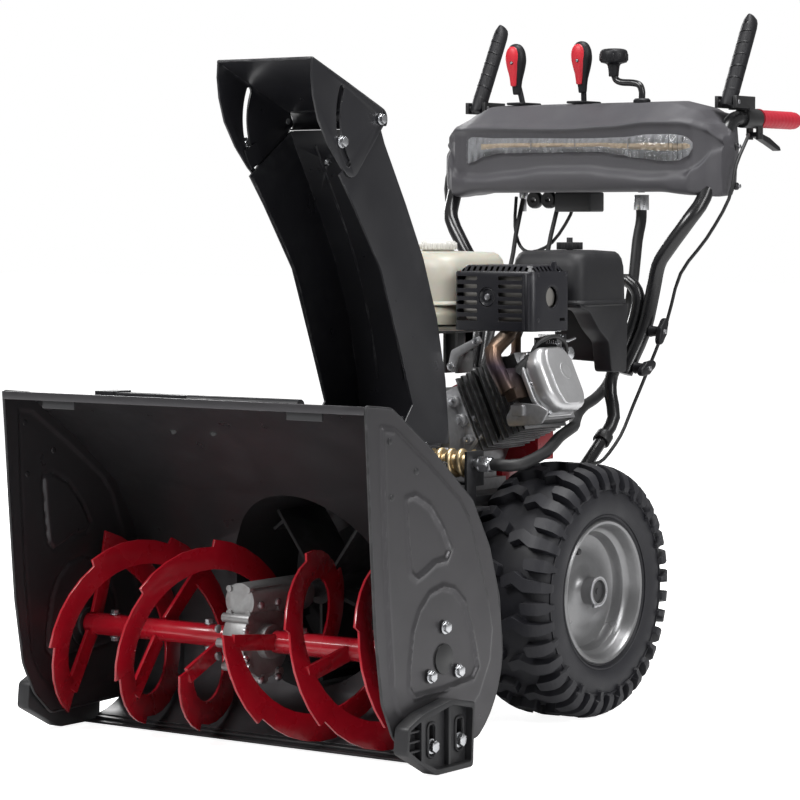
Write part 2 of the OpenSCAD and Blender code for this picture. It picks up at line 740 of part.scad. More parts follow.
module exhaust_pipe() {
    union() {
        swept_cord([[140, -30, 628], [140, -42, 606], [144, -88, 582], [162, -98, 550], [181, -98, 521]], 27, 2, 14,
            [1, 0, 0]);
        along_bore() box([190, -98, -16], [209, -66.1, 34]);
    }
}

module muffler_guard() {
    color([0.08, 0.08, 0.09]) difference() {
        translate([124, -4, 614]) rotate([0, 0, 0]) linear_extrude(108) round_rect(154, 112, 14);
        translate([124, -4, 610]) linear_extrude(109) round_rect(148, 106, 12);
        for (z = [632:13:706]) {
            box([54, -64, z], [94, -50, z + 6]);
            box([132, -64, z], [182, -50, z + 6]);
        }
        for (x = [58:11:190]) box([x, -48, 716], [x + 5, -30, 725]);
        for (y = [-40:11:40]) box([186, y, 716], [205, y + 5, 725]);
        translate([190, -4, 668]) rotate([0, 90, 0]) cylinder(h = 20, r = 18);
        y_cylinder(-70, -50, 113, 668, 14);
    }
}

module air_filter_box() {
    color([0.07, 0.07, 0.08]) difference() {
        union() {
            soft_box([60, 80, 539], [200, 230, 652], 16);
            soft_box([57, 77, 652], [203, 233, 660], 18);
            soft_box([60, 80, 660], [200, 230, 732], 22);
            soft_box([66, 86, 732], [194, 224, 742], 20);
        }
        soft_box([64, 84, 543], [196, 226, 728], 14);
        translate([135, 150, 700]) cylinder(h = 60, r = 5 + run_gap);
    }
}

module air_filter_knob() {
    color([0.1, 0.1, 0.1]) {
        translate([135, 150, 742.2]) cylinder(h = 12, r = 18);
        for (a = [0:45:315]) translate([135 + 18 * cos(a), 150 + 18 * sin(a), 742.2]) cylinder(h = 12, r = 4);
        translate([135, 150, 715]) cylinder(h = 30, r = 5);
        translate([135, 150, 754]) cylinder(h = 8, r = 5);
    }
}

module carburettor() {
    union() {
        box([126, 58, 556], [170, 79.9, 600]);
        rod([148, 46.2, 560], [148, 70, 578], 26);
        box([128, 40, 500], [168, 46, 574]);
    }
}

module throttle_lever() {
    color([0.12, 0.12, 0.12]) {
        box([174, 66, 570], [178, 74, 606]);
        x_cylinder(170.2, 182, 70, 574, 5);
    }
}

module choke_lever() {
    color([0.5, 0.06, 0.06]) {
        box([174, 64, 528], [178, 72, 562]);
        x_cylinder(170.2, 182, 68, 560, 4);
    }
}

// ---- handles and console -------------------------------------------------

// The upper handle tubes are bolted to the outside of the lower handle's legs.
handle_route = [[156, 291, 532], [158, 296, 543], [170, 328, 604],
    [180, 339, 667], [190, 340, 714], [207, 342, 741], [243, 353, 792], [256, 378, 828], [grip_x + 4, 416, 900],
    [grip_x + 2, 446, 944], [grip_x, 476, 962], [grip_x, 500, grip_z]];

// The lower handle rises from the chassis and crosses over behind the engine.
lower_route = [[143, 150, 353], [143, 195, 390], [143, 247, 430], [147, 270, 460], [132, 284, 497],
    [129, 289, 520], [133, 296, 543], [145, 328, 604], [153, 337, 650], [149, 338, 672], [134, 338, 686],
    [108, 338, 689]];

module handle_right() {
    color([0.06, 0.06, 0.07]) {
        swept_cord(handle_route, handle_d, 3, 14, [1, 0, 0]);
        y_cylinder(499, rear_y - 3, grip_x, grip_z, handle_d / 2);
    }
}
module handle_left() { mirror([1, 0, 0]) handle_right(); }

module lower_handle() {
    color([0.06, 0.06, 0.07]) swept_cord(concat(lower_route, [for (p = reversed(lower_route)) [-p.x, p.y, p.z]]),
        lower_handle_d, 2, 12, [0, 1, 0]);
}

module grips() {
    color([0.85, 0.08, 0.12]) mirrored_x() difference() {
        union() {
            y_cylinder(556, rear_y, grip_x, grip_z, grip_d / 2 - 1.5);
            for (y = [562:14:680]) y_cylinder(y, y + 8, grip_x, grip_z, grip_d / 2);
            y_cylinder(556, 561, grip_x, grip_z, grip_d / 2 + 2);
        }
        y_cylinder(550, rear_y - 3, grip_x, grip_z, handle_d / 2);
    }
}

// Clamp on the handle tube that carries the clutch lever and the trigger.
module lever_brackets() {
    color([0.08, 0.08, 0.09]) mirrored_x() difference() {
        union() {
            y_cylinder(502, 552, grip_x, grip_z, 17);
            box([grip_x - 9, 500, grip_z + 10], [grip_x + 9, 514, clutch_z - 12]);
            box([grip_x - 21, 447, grip_z + 16], [grip_x - 15, 512, clutch_z + 10]);
            box([grip_x + 15, 447, grip_z + 16], [grip_x + 21, 512, clutch_z + 10]);
            box([grip_x - 21, 494, grip_z + 14], [grip_x + 21, 512, grip_z + 20]);
            box([grip_x - 12, 540, trigger_z - 9], [grip_x - 7, 556, grip_z - 8]);
            box([grip_x + 7, 540, trigger_z - 9], [grip_x + 12, 556, grip_z - 8]);
        }
        y_cylinder(480, 560, grip_x, grip_z, handle_d / 2);
        x_cylinder(grip_x - 30, grip_x + 30, clutch_y, clutch_z, 4);
        x_cylinder(grip_x - 30, grip_x + 30, trigger_y, trigger_z, 3);
    }
}

// Half-shell clutch lever, drawn lying over the grip and then raised.
module clutch_lever() {
    color([0.06, 0.06, 0.07]) translate([grip_x, clutch_y, clutch_z]) rotate([62, 0, 0]) {
        difference() {
            union() {
                y_cylinder(-12, 168, 0, 0, 14);
                for (y = [22:24:142]) y_cylinder(y, y + 4, 0, 0, 15);
            }
            y_cylinder(12, 160, 0, -4, 11);
            box([-20, 10, -20], [20, 170, -5]);
            box([-20, -14, -20], [20, 12, -6]);
            translate([0, 140, 0]) cylinder(h = 30, r = 4);
            x_cylinder(-20, 20, 0, 0, 4);
        }
    }
}

module clutch_pin() {
    color([0.75, 0.76, 0.78]) x_cylinder(grip_x - 22, grip_x + 22, clutch_y, clutch_z, 4);
}

module clutch_lever_right() { clutch_lever(); clutch_pin(); }
module clutch_lever_left() { mirror([1, 0, 0]) clutch_lever_right(); }

module trigger() {
    color([0.07, 0.07, 0.08]) {
        x_cylinder(grip_x - 12.5, grip_x + 12.5, trigger_y, trigger_z, 3 - run_gap);
        slab_x(grip_x - 6.5, grip_x + 6.5) polygon([[544, 942], [552, 942], [590, 933], [626, 918], [630, 912],
            [624, 911], [590, 922], [556, 932], [544, 934]]);
    }
}

module trigger_right() { trigger(); }
module trigger_left() { mirror([1, 0, 0]) trigger(); }

module console_profile(k) {
    polygon([[352 + k, 832], [340 + k, 880], [348 + k, 930], [398 + k, 988], [440, 994], [520, 984], [545, 910],
        [500, 850], [420, 838]]);
}

module console_skin(d) {
    hull() {
        slab_x(-180 + d, 180 - d) offset(delta = -d) console_profile(0);
        slab_x(-235 + d, 235 - d) offset(delta = -d) intersection() {
            console_profile(8);
            translate([300, 800]) square([300, 172]);
        }
        slab_x(-281 + d, 281 - d) offset(delta = -d) intersection() {
            console_profile(44);
            translate([300, 828]) square([136, 104]);
        }
    }
}

module console() {
    color([0.25, 0.25, 0.27]) difference() {
        console_skin(0);
        console_skin(4);
        mirrored_x() {
            swept_cord(handle_route, handle_d + 3, 3, 14, [1, 0, 0]);
            box([grip_x - 24, 464, 923], [grip_x + 34, 560, 1000]);
        }
        box([-152, 404, 975], [-130, 456, 1000]);
        box([-27, 404, 975], [-5, 456, 1000]);
        translate([108, 420, 970]) cylinder(h = 40, r = 6 + run_gap);
        translate([108, 420, 815]) cylinder(h = 40, r = 13.2);
    }
}

module console_lens() {
    color([0.85, 0.83, 0.76]) hull() {
        box([-178, 333, 900], [170, 336, 926]);
        box([-150, 334, 892], [150, 337.5, 934]);
    }
}

// Gate plate under the slots that carries the pivots of the two levers.
module lever_gate() {
    for (x = [-141, -16]) difference() {
        box([x - 16, 414, console_pivot_z - 14], [x + 16, 446, console_pivot_z + 14]);
        box([x - 9, 400, console_pivot_z - 10], [x + 9, 460, console_pivot_z + 20]);
        x_cylinder(x - 20, x + 20, 430, console_pivot_z, 5);
    }
}

module hand_lever(x, lean) {
    color([0.07, 0.07, 0.08]) {
        x_cylinder(x - 15.9, x + 15.9, 430, console_pivot_z, 5 - run_gap);
        swept_cord([[x, 430, console_pivot_z], [x, 430, 990], [x + lean, 428, 1038]], 10, 2, 10, [0, 1, 0]);
        translate([x + lean, 428, 1034]) cylinder(h = 8, r1 = 7, r2 = 13);
        translate([x + lean, 428, 1042]) cylinder(h = 30, r = 14);
        translate([x + lean, 428, 1072]) sphere(r = 14);
    }
    color([0.8, 0.05, 0.08]) translate([x + lean, 419, 1046]) rotate([90, 0, 0]) cylinder(h = 9, r = 10);
}

module speed_lever() { hand_lever(-141, -12); }
module deflector_lever() { hand_lever(-16, 0); }

module chute_crank() {
    color([0.07, 0.07, 0.08]) {
        translate([108, 420, 836.2]) cylinder(h = 172, r = 6);
        swept_cord([[108, 420, 1006], [107, 420, 1017], [98, 420, 1025], [61, 420, 1027], [52, 420, 1035],
            [51, 420, 1052]], 11, 2, 10, [0, 1, 0]);
        translate([51, 420, 1050]) cylinder(h = 12, r1 = 10, r2 = 18);
        translate([51, 420, 1062]) cylinder(h = 18, r = 19);
        translate([51, 420, 1080]) cylinder(h = 5, r1 = 19, r2 = 14);
    }
}

module t_knob(y, z, x) {
    color([0.08, 0.08, 0.08]) {
        x_cylinder(x, x + 16, y, z, 8);
        translate([x + 16, y, z]) rotate([0, 90, 0]) linear_extrude(14) round_rect(14, 46, 6.5);
    }
}

module knob_upper_right() { t_knob(328, 604, 183.6); }
module knob_lower_right() { t_knob(296, 543, 173.6); }
module knob_upper_left() { mirror([1, 0, 0]) knob_upper_right(); }
module knob_lower_left() { mirror([1, 0, 0]) knob_lower_right(); }

// ---- cables and rods -----------------------------------------------------

clutch_cable = [[270, 500, 936], [288, 468, 930], [294, 420, 884], [289, 404, 826], [250, 398, 760],
    [210, 380, 700], [190, 370, 620], [172, 340, 540], [164, 302, 476], [164, 264, 430], [162, 215, 394],
    [160, 185, 388], [154, 150, 382], [138, 118, 366], [134, 96, 340]];
shift_cable = [[-150, 420, 832], [-146, 410, 780], [-128, 400, 745], [-100, 395, 735], [-60, 398, 752],
    [-30, 410, 800], [-26, 416, 832]];

module control_cables() {
    color([0.05, 0.05, 0.05]) {
        mirrored_x() swept_cord(clutch_cable, 6, 3, 8, [1, 0, 0]);
        swept_cord(shift_cable, 6, 3, 8, [0, 1, 0]);
        shift_rods();
    }
}

// The two rods under the console levers pass behind the lower handle's cross tube.
speed_rod = [[-141, 430, 834], [-135, 396, 765], [-128, 361, 689], [-109, 240, 512], [-90, 118, 334]];
deflector_rod = [[-60, 424, 834], [-60, 394, 765], [-60, 361, 689], [-60, 240, 512], [-60, 118, 330]];

module shift_rods() {
    for (route = [speed_rod, deflector_rod]) swept_cord(route, 8, 2, 8, [1, 0, 0]);
}

// Rings on the handle tubes that hold the cables.
module cable_clamps() {
    low = [143, 236, 421];
    high = [143, 249, 432];
    mirrored_x() difference() {
        rod(low, high, lower_handle_d + 8);
        swept_cord(lower_route, lower_handle_d + 0.8, 2, 12, [0, 1, 0]);
    }
}

module clean_out_tool() {
    color([0.07, 0.07, 0.08]) {
        x_cylinder(-60, 150, -592, 522, 9);
        box([-200, -604, 514], [-60, -580, 530]);
        box([-232, -608, 508], [-196, -566, 532]);
    }
}

module tool_clips() {
    for (x = [-30, 120]) difference() {
        slab_x(x, x + 14) polygon([[-606, 506.2], [-578, 488.2], [-578, 526], [-606, 526]]);
        x_cylinder(x - 1, x + 20, -592, 522, 9.1);
        box([x - 1, -601.1, 522], [x + 20, -582.9, 540]);
    }
}

// ---- nodes that group small pieces of one body ----------------------------

module zinc_fittings() {
    color([0.75, 0.76, 0.78]) {
        housing_bolts();
        drive_fitting();
        lever_gate();
    }
}

module brackets() {
    color([0.1, 0.1, 0.11]) {
        auger_bearings();
        tank_bracket();
        cable_clamps();
        tool_clips();
    }
}

module engine_block() {
    color([0.62, 0.63, 0.64]) {
        crankcase();
        cylinder_block();
        carburettor();
    }
}

module engine_covers() {
    color([0.1, 0.1, 0.11]) {
        belt_cover();
        recoil_cover();
    }
}

module exhaust() {
    color([0.4, 0.36, 0.31]) {
        muffler();
        exhaust_pipe();
    }
}

auger_housing();
side_plate_right();
side_plate_left();
scraper_bar();
skid_shoe_right();
skid_shoe_left();
zinc_fittings();
brackets();
auger_right();
auger_left();
auger_shaft();
auger_gearbox();
impeller();
impeller_shaft();
chassis();
tyre_right();
tyre_left();
rim_right();
rim_left();
chute_ring();
chute_duct();
chute_bolts();
deflector();
chute_worm();
worm_bracket();
chute_drive_shaft();
engine_block();
valve_cover();
crankshaft();
blower_shroud();
engine_covers();
recoil_handle();
fuel_tank();
fuel_cap();
exhaust();
muffler_guard();
air_filter_box();
air_filter_knob();
throttle_lever();
choke_lever();
handle_right();
handle_left();
lower_handle();
grips();
lever_brackets();
clutch_lever_right();
clutch_lever_left();
trigger_right();
trigger_left();
console();
console_lens();
speed_lever();
deflector_lever();
chute_crank();
knob_upper_right();
knob_lower_right();
knob_upper_left();
knob_lower_left();
control_cables();
clean_out_tool();
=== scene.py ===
"""Finishes and moulded pieces of a two stage snowblower, built round its frame.

Shapes are drawn in millimetres.
"""

import json
import math

import bmesh
import bpy
from bpy.props import FloatProperty, FloatVectorProperty, IntProperty, PointerProperty
from mathutils import Matrix, Vector
from mathutils.bvhtree import BVHTree

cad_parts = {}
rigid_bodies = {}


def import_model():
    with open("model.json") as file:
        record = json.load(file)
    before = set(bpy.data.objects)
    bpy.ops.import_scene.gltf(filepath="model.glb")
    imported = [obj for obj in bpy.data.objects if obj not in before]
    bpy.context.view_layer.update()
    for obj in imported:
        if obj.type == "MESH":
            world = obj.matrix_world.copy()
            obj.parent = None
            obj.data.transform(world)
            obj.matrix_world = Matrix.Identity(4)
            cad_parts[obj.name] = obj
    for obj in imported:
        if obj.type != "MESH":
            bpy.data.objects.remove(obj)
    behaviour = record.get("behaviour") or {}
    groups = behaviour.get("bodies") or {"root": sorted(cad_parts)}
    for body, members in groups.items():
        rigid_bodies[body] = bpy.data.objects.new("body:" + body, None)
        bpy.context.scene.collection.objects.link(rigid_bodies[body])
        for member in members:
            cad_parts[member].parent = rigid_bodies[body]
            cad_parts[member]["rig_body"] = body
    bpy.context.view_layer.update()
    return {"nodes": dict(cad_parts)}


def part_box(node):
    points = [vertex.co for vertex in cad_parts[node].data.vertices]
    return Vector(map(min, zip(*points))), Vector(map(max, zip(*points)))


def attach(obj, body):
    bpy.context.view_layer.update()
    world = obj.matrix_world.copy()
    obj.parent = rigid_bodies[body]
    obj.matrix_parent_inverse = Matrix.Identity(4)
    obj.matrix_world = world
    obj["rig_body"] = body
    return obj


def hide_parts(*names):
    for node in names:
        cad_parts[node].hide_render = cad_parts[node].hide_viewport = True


bl_info = {
    "name": "Two stage snowblower",
    "version": (1, 0, 0),
    "blender": (4, 5, 0),
    "location": "View3D > Sidebar > Snowblower",
    "description": "Builds the snowblower's finishes and moulded pieces round its frame",
    "category": "Object",
}

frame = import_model()
MM = 0.001
SIDES = {"right": 1, "left": -1}
SMOOTH_ANGLE = 38.0  # degrees; an edge that turns more stays sharp
AUGER_AXIS = (-510, 160)  # y and z of the auger shaft
BORE_HEIGHT, BORE_TILT = 440, -24.5  # the cylinder's line, in millimetres and degrees
HOOD_HINGE = (-408, 940)  # y and z of the deflector's pivot
CLUTCH_PIVOT = (457, 991)  # y and z of the clutch levers' pins
HAND_LEVER_X = {"speed_lever": -141, "deflector_lever": -16}
HAND_LEVER_Y = 430
CRANK_Y = 420
# A flat outline's own axes, for a depth along +X, -Y and +Z.
FACING = {
    "x": Matrix(((0, 0, 1, 0), (1, 0, 0, 0), (0, 1, 0, 0), (0, 0, 0, 1))),
    "y": Matrix(((1, 0, 0, 0), (0, 0, -1, 0), (0, 1, 0, 0), (0, 0, 0, 1))),
    "z": Matrix.Identity(4),
}


def box_mm(node):
    """Lowest and highest corner of a CAD node in millimetres."""
    lo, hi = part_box(node)
    return lo / MM, hi / MM


def centre_mm(node):
    """Middle of a CAD node in millimetres."""
    lo, hi = box_mm(node)
    return (lo + hi) / 2


def at(x, y, z, facing="z", turn=0.0):
    """Puts a drawn form at a point, with its depth along the named axis and a turn about it."""
    return Matrix.Translation((x, y, z)) @ FACING[facing] @ Matrix.Rotation(math.radians(turn), 4, "Z")


# ---- outlines and curves ----------------------------------------------------


def arc(cx, cy, radius, start, end, steps):
    """Points along an arc between two angles in degrees."""
    turns = [math.radians(start + (end - start) * i / steps) for i in range(steps + 1)]
    return [(cx + radius * math.cos(a), cy + radius * math.sin(a)) for a in turns]


def soft(points, reach, steps=4):
    """The closed outline with each corner rounded by a short curve."""
    out = []
    for i, corner in enumerate(points):
        p = Vector(corner)
        a, b = Vector(points[i - 1]) - p, Vector(points[(i + 1) % len(points)]) - p
        start = p + a.normalized() * min(reach, a.length * 0.45)
        end = p + b.normalized() * min(reach, b.length * 0.45)
        for k in range(steps + 1):
            t = k / steps
            out.append(start * (1 - t) ** 2 + p * 2 * t * (1 - t) + end * t * t)
    return out


def rectangle(width, height, reach=0.0, steps=4):
    """A rectangle about the origin, with rounded corners where a reach is given."""
    w, h = width / 2, height / 2
    corners = [(-w, -h), (w, -h), (w, h), (-w, h)]
    return soft(corners, reach, steps) if reach else corners


def curve(points, steps=4):
    """A smooth curve through the points."""
    p = [Vector(q) for q in points]
    p = [2 * p[0] - p[1], *p, 2 * p[-1] - p[-2]]
    out = []
    for i in range(1, len(p) - 2):
        a, b, c, d = p[i - 1 : i + 3]
        for k in range(steps):
            t = k / steps
            out.append(0.5 * (2 * b + (c - a) * t + (2 * a - 5 * b + 4 * c - d) * t * t
                              + (3 * b - a - 3 * c + d) * t ** 3))
    return [*out, p[-2]]


def smooth_step(t):
    """Zero to one with soft ends."""
    t = max(0.0, min(1.0, t))
    return t * t * (3 - 2 * t)


def blended(x, stops):
    """The value at x of a smooth line through (x, value) stops."""
    if x <= stops[0][0]:
        return stops[0][1]
    for (x0, v0), (x1, v1) in zip(stops, stops[1:]):
        if x <= x1:
            return v0 + (v1 - v0) * smooth_step((x - x0) / (x1 - x0))
    return stops[-1][1]


def depth_inside(outline, u, v):
    """Distance from a point to the outline, positive inside it."""
    p, inside, nearest = Vector((u, v)), False, 1e9
    for i, q in enumerate(outline):
        a, b = Vector(outline[i - 1]), Vector(q)
        side = b - a
        t = max(0.0, min(1.0, (p - a).dot(side) / side.length_squared))
        nearest = min(nearest, (a + side * t - p).length)
        if (a.y > v) != (b.y > v) and u < a.x + (v - a.y) / (b.y - a.y) * (b.x - a.x):
            inside = not inside
    return nearest if inside else -nearest


# ---- forms ------------------------------------------------------------------


def outward(bm):
    """The same form with its faces turned out."""
    bmesh.ops.recalc_face_normals(bm, faces=bm.faces)
    return bm


def rounded(bm, edges, width, segments=2):
    """The same form with some edges rounded."""
    bmesh.ops.bevel(bm, geom=edges, offset=width, offset_type="OFFSET", segments=segments, profile=0.5,
                    affect="EDGES", clamp_overlap=True, material=-1)
    return bm


def loft(rings):
    """A closed form that runs from the first ring of points to the last."""
    bm = bmesh.new()
    face = bm.faces.new([bm.verts.new(p) for p in rings[0]])
    for ring in rings[1:]:
        grown = bmesh.ops.extrude_face_region(bm, geom=[face])["geom"]
        face = next(g for g in grown if isinstance(g, bmesh.types.BMFace))
        for vert, p in zip(face.verts, ring):
            vert.co = p
    return outward(bm)


def slab(outline, depth, edge=0.0, segments=2):
    """A flat outline given a depth along +Z, with the edges of its two faces rounded."""
    bm = loft([[(p[0], p[1], z) for p in outline] for z in (0, depth)])
    if edge:
        rims = [e for e in bm.edges if abs(e.verts[0].co.z - e.verts[1].co.z) < 1e-6]
        rounded(bm, rims, edge, segments)
    return bm


def block(size, edge=1.0, segments=3):
    """A box about the origin with rounded edges."""
    bm = bmesh.new()
    bmesh.ops.create_cube(bm, size=1.0)
    bmesh.ops.scale(bm, vec=size, verts=bm.verts)
    return rounded(bm, bm.edges[:], edge, segments)


def lathe(profile, steps=48):
    """A form turned about Z from (radius, height) points."""
    bm = bmesh.new()
    verts = [bm.verts.new((r, 0, h)) for r, h in profile]
    edges = [bm.edges.new(pair) for pair in zip(verts, verts[1:])]
    if profile[0][0] > 0:
        edges.append(bm.edges.new((verts[-1], verts[0])))
    bmesh.ops.spin(bm, geom=verts + edges, cent=(0, 0, 0), axis=(0, 0, 1), angle=2 * math.pi,
                   steps=steps, use_merge=True)
    bmesh.ops.remove_doubles(bm, verts=bm.verts, dist=1e-4)
    return outward(bm)


def tube(route, radius, sides=12, steps=4, taper=None):
    """A round bar along a smooth curve; taper gives the radius at a share of the length."""
    points = curve(route, steps)
    ahead = (points[1] - points[0]).normalized()
    across = ahead.orthogonal().normalized()
    rings = []
    for i, p in enumerate(points):
        ahead = (points[min(i + 1, len(points) - 1)] - points[max(i - 1, 0)]).normalized()
        across = (across - ahead * across.dot(ahead)).normalized()
        up = ahead.cross(across)
        r = radius if taper is None else radius * taper(i / (len(points) - 1))
        circle = arc(0, 0, 1, 0, 360 - 360 / sides, sides - 1)
        rings.append([p + (across * c + up * s) * r for c, s in circle])
    return loft(rings)


def pin(radius, length, edge=0.6, sides=24):
    """A round rod along +Z with rounded ends."""
    return slab(arc(0, 0, radius, 0, 360 - 360 / sides, sides - 1), length, edge)


def hexagon_bolt(size, height):
    """A hexagon head."""
    return slab(arc(0, 0, size / 2, 0, 300, 5), height, 0.9)


def stamped(outline, pitch, thickness, height):
    """A pressed sheet: a grid cut to a convex outline, raised by height(u, v), then given its back."""
    us, vs = [p[0] for p in outline], [p[1] for p in outline]
    wide, tall = max(us) - min(us), max(vs) - min(vs)
    bm = bmesh.new()
    bmesh.ops.create_grid(bm, x_segments=int(wide / pitch), y_segments=int(tall / pitch), size=0.5)
    bmesh.ops.scale(bm, vec=(wide + 2, tall + 2, 1), verts=bm.verts)
    bmesh.ops.translate(bm, vec=((max(us) + min(us)) / 2, (max(vs) + min(vs)) / 2, 0), verts=bm.verts)
    middle = Vector((sum(us) / len(us), sum(vs) / len(vs)))
    for i, q in enumerate(outline):
        a, b = Vector(outline[i - 1]), Vector(q)
        away = Vector((b.y - a.y, a.x - b.x)).normalized()
        if away.dot(middle - a) > 0:
            away = -away
        bmesh.ops.bisect_plane(bm, geom=bm.verts[:] + bm.edges[:] + bm.faces[:], dist=1e-4,
                               plane_co=(a.x, a.y, 0), plane_no=(away.x, away.y, 0), clear_outer=True)
    for vert in bm.verts:
        vert.co.z = height(vert.co.x, vert.co.y)
    back = bmesh.ops.extrude_face_region(bm, geom=bm.faces[:])["geom"]
    back_verts = [g for g in back if isinstance(g, bmesh.types.BMVert)]
    bmesh.ops.translate(bm, vec=(0, 0, -thickness), verts=back_verts)
    return outward(bm)


def poured(form, place, into):
    """Moves a form to its place in another mesh and frees it."""
    bmesh.ops.transform(form, matrix=place, verts=form.verts)
    mesh = bpy.data.meshes.new("form")
    form.to_mesh(mesh)
    form.free()
    into.from_mesh(mesh)
    bpy.data.meshes.remove(mesh)


class Piece:
    """One object in the making, in millimetres: closed forms joined with a finish each."""

    def __init__(self, *finishes):
        self.bm = bmesh.new()
        self.finishes = finishes

    def add(self, form, place=Matrix.Identity(4), finish=0):
        """Joins a form to the piece, in one of its finishes."""
        for face in form.faces:
            face.material_index = finish
        poured(form, place, self.bm)
        return self

    def to_side(self, sign):
        """Swaps left and right for a piece of the left side."""
        if sign < 0:
            bmesh.ops.scale(self.bm, vec=(-1, 1, 1), verts=self.bm.verts)
            bmesh.ops.reverse_faces(self.bm, faces=self.bm.faces)
        return self

    def done(self, name, body, *nodes, sharp=SMOOTH_ANGLE):
        """Makes the object, which rides on the body and stands for the nodes."""
        bmesh.ops.scale(self.bm, vec=(MM, MM, MM), verts=self.bm.verts)
        shade(self.bm, sharp)
        mesh = bpy.data.meshes.new(name)
        self.bm.to_mesh(mesh)
        self.bm.free()
        for finish in self.finishes:
            mesh.materials.append(bpy.data.materials[finish])
        piece = bpy.data.objects.new(name, mesh)
        bpy.context.scene.collection.objects.link(piece)
        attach(piece, body)
        if nodes:
            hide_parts(*nodes)
        return piece


def shade(bm, sharp):
    """Smooth shading, broken at edges that turn by more than the given angle."""
    for face in bm.faces:
        face.smooth = True
    for edge in bm.edges:
        edge.smooth = edge.calc_face_angle(0.0) < math.radians(sharp)


def softened(node, width, segments=2, sharp=SMOOTH_ANGLE):
    """A CAD node's own shape with its hard edges rounded."""
    source = frame["nodes"][node]
    bm = bmesh.new()
    bm.from_mesh(source.data)
    bmesh.ops.remove_doubles(bm, verts=bm.verts, dist=1e-6)
    bmesh.ops.dissolve_limit(bm, angle_limit=math.radians(0.4), verts=bm.verts, edges=bm.edges)
    hard = [e for e in bm.edges if e.is_manifold and e.calc_face_angle(0.0) > math.radians(30)]
    if width:
        rounded(bm, hard, width * MM, segments)
    shade(bm, sharp)
    mesh = bpy.data.meshes.new(node + "_body")
    bm.to_mesh(mesh)
    bm.free()
    slot = source.material_slots[0].material.name
    mesh.materials.append(bpy.data.materials[slot])
    piece = bpy.data.objects.new(node + "_body", mesh)
    bpy.context.scene.collection.objects.link(piece)
    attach(piece, source["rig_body"])
    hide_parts(node)
    return piece


def joined(forms):
    """Several placed forms as one, to cut with."""
    out = bmesh.new()
    for form, place in forms:
        poured(form, place, out)
    return out


def cut(piece, form, place=Matrix.Identity(4)):
    """Cuts a form out of a piece."""
    bmesh.ops.transform(form, matrix=Matrix.Scale(MM, 4) @ place, verts=form.verts)
    mesh = bpy.data.meshes.new("cutter")
    form.to_mesh(mesh)
    form.free()
    cutter = bpy.data.objects.new("cutter", mesh)
    bpy.context.scene.collection.objects.link(cutter)
    if place.determinant() < 0:
        mesh.flip_normals()
    modifier = piece.modifiers.new("cut", "BOOLEAN")
    modifier.object = cutter
    modifier.operation = "DIFFERENCE"
    modifier.solver = "EXACT"
    bpy.context.view_layer.update()
    seen = piece.evaluated_get(bpy.context.evaluated_depsgraph_get())
    result = bpy.data.meshes.new_from_object(seen)
    piece.modifiers.remove(modifier)
    piece.data = result
    bpy.data.objects.remove(cutter)
    bpy.data.meshes.remove(mesh)
    return piece


# ---- finishes ---------------------------------------------------------------


def feed(tree, node, values):
    """Gives a node its inputs; a value that is a socket is linked, any other is set."""
    for key, value in values.items():
        if isinstance(value, bpy.types.NodeSocket):
            tree.links.new(value, node.inputs[key])
        else:
            node.inputs[key].default_value = value
    return node


def put(tree, kind, values=None, **settings):
    """Adds a node with its settings and inputs."""
    node = tree.nodes.new("ShaderNode" + kind)
    for key, value in settings.items():
        setattr(node, key, value)
    return feed(tree, node, values or {})


def mixed(tree, factor, a, b):
    """Colour a turning to colour b by the factor."""
    return put(tree, "Mix", {0: factor, 6: a, 7: b}, data_type="RGBA").outputs[2]


def ranged(tree, value, low, high, to_low, to_high):
    """A value moved from one range to another and clamped."""
    return put(tree, "MapRange", {0: value, 1: low, 2: high, 3: to_low, 4: to_high}).outputs[0]


def math_node(tree, operation, a, b=0.0):
    return put(tree, "Math", {0: a, 1: b}, operation=operation).outputs[0]


def noise(tree, vector, scale, detail=4.0):
    return put(tree, "TexNoise", {"Vector": vector, "Scale": scale, "Detail": detail}).outputs[0]


def rgb(color):
    return (*color, 1.0)


def new_group(name, inputs, outputs):
    """An empty node group with its sockets: the tree, the given values and the outputs."""
    tree = bpy.data.node_groups.new(name, "ShaderNodeTree")
    for label, kind in inputs.items():
        tree.interface.new_socket(label, in_out="INPUT", socket_type="NodeSocket" + kind)
    for label, kind in outputs.items():
        tree.interface.new_socket(label, in_out="OUTPUT", socket_type="NodeSocket" + kind)
    return tree, tree.nodes.new("NodeGroupInput").outputs, tree.nodes.new("NodeGroupOutput").inputs


def colour_drift_group():
    """Slow and fine changes of tone over a surface."""
    tree, given, out = new_group("colour_drift", {"Vector": "Vector", "Color": "Color", "Amount": "Float"},
                                 {"Color": "Color"})
    wide = noise(tree, given["Vector"], 6.0, 3.0)
    fine = noise(tree, given["Vector"], 140.0, 5.0)
    wide_share, fine_share = math_node(tree, "MULTIPLY", wide, 0.7), math_node(tree, "MULTIPLY", fine, 0.3)
    tone = math_node(tree, "ADD", wide_share, fine_share)
    swing = math_node(tree, "MULTIPLY", math_node(tree, "SUBTRACT", tone, 0.5), given["Amount"])
    value = math_node(tree, "ADD", math_node(tree, "MULTIPLY", swing, 4.0), 1.0)
    tone_shift = put(tree, "HueSaturation", {"Color": given["Color"], "Value": value})
    tree.links.new(tone_shift.outputs[0], out["Color"])


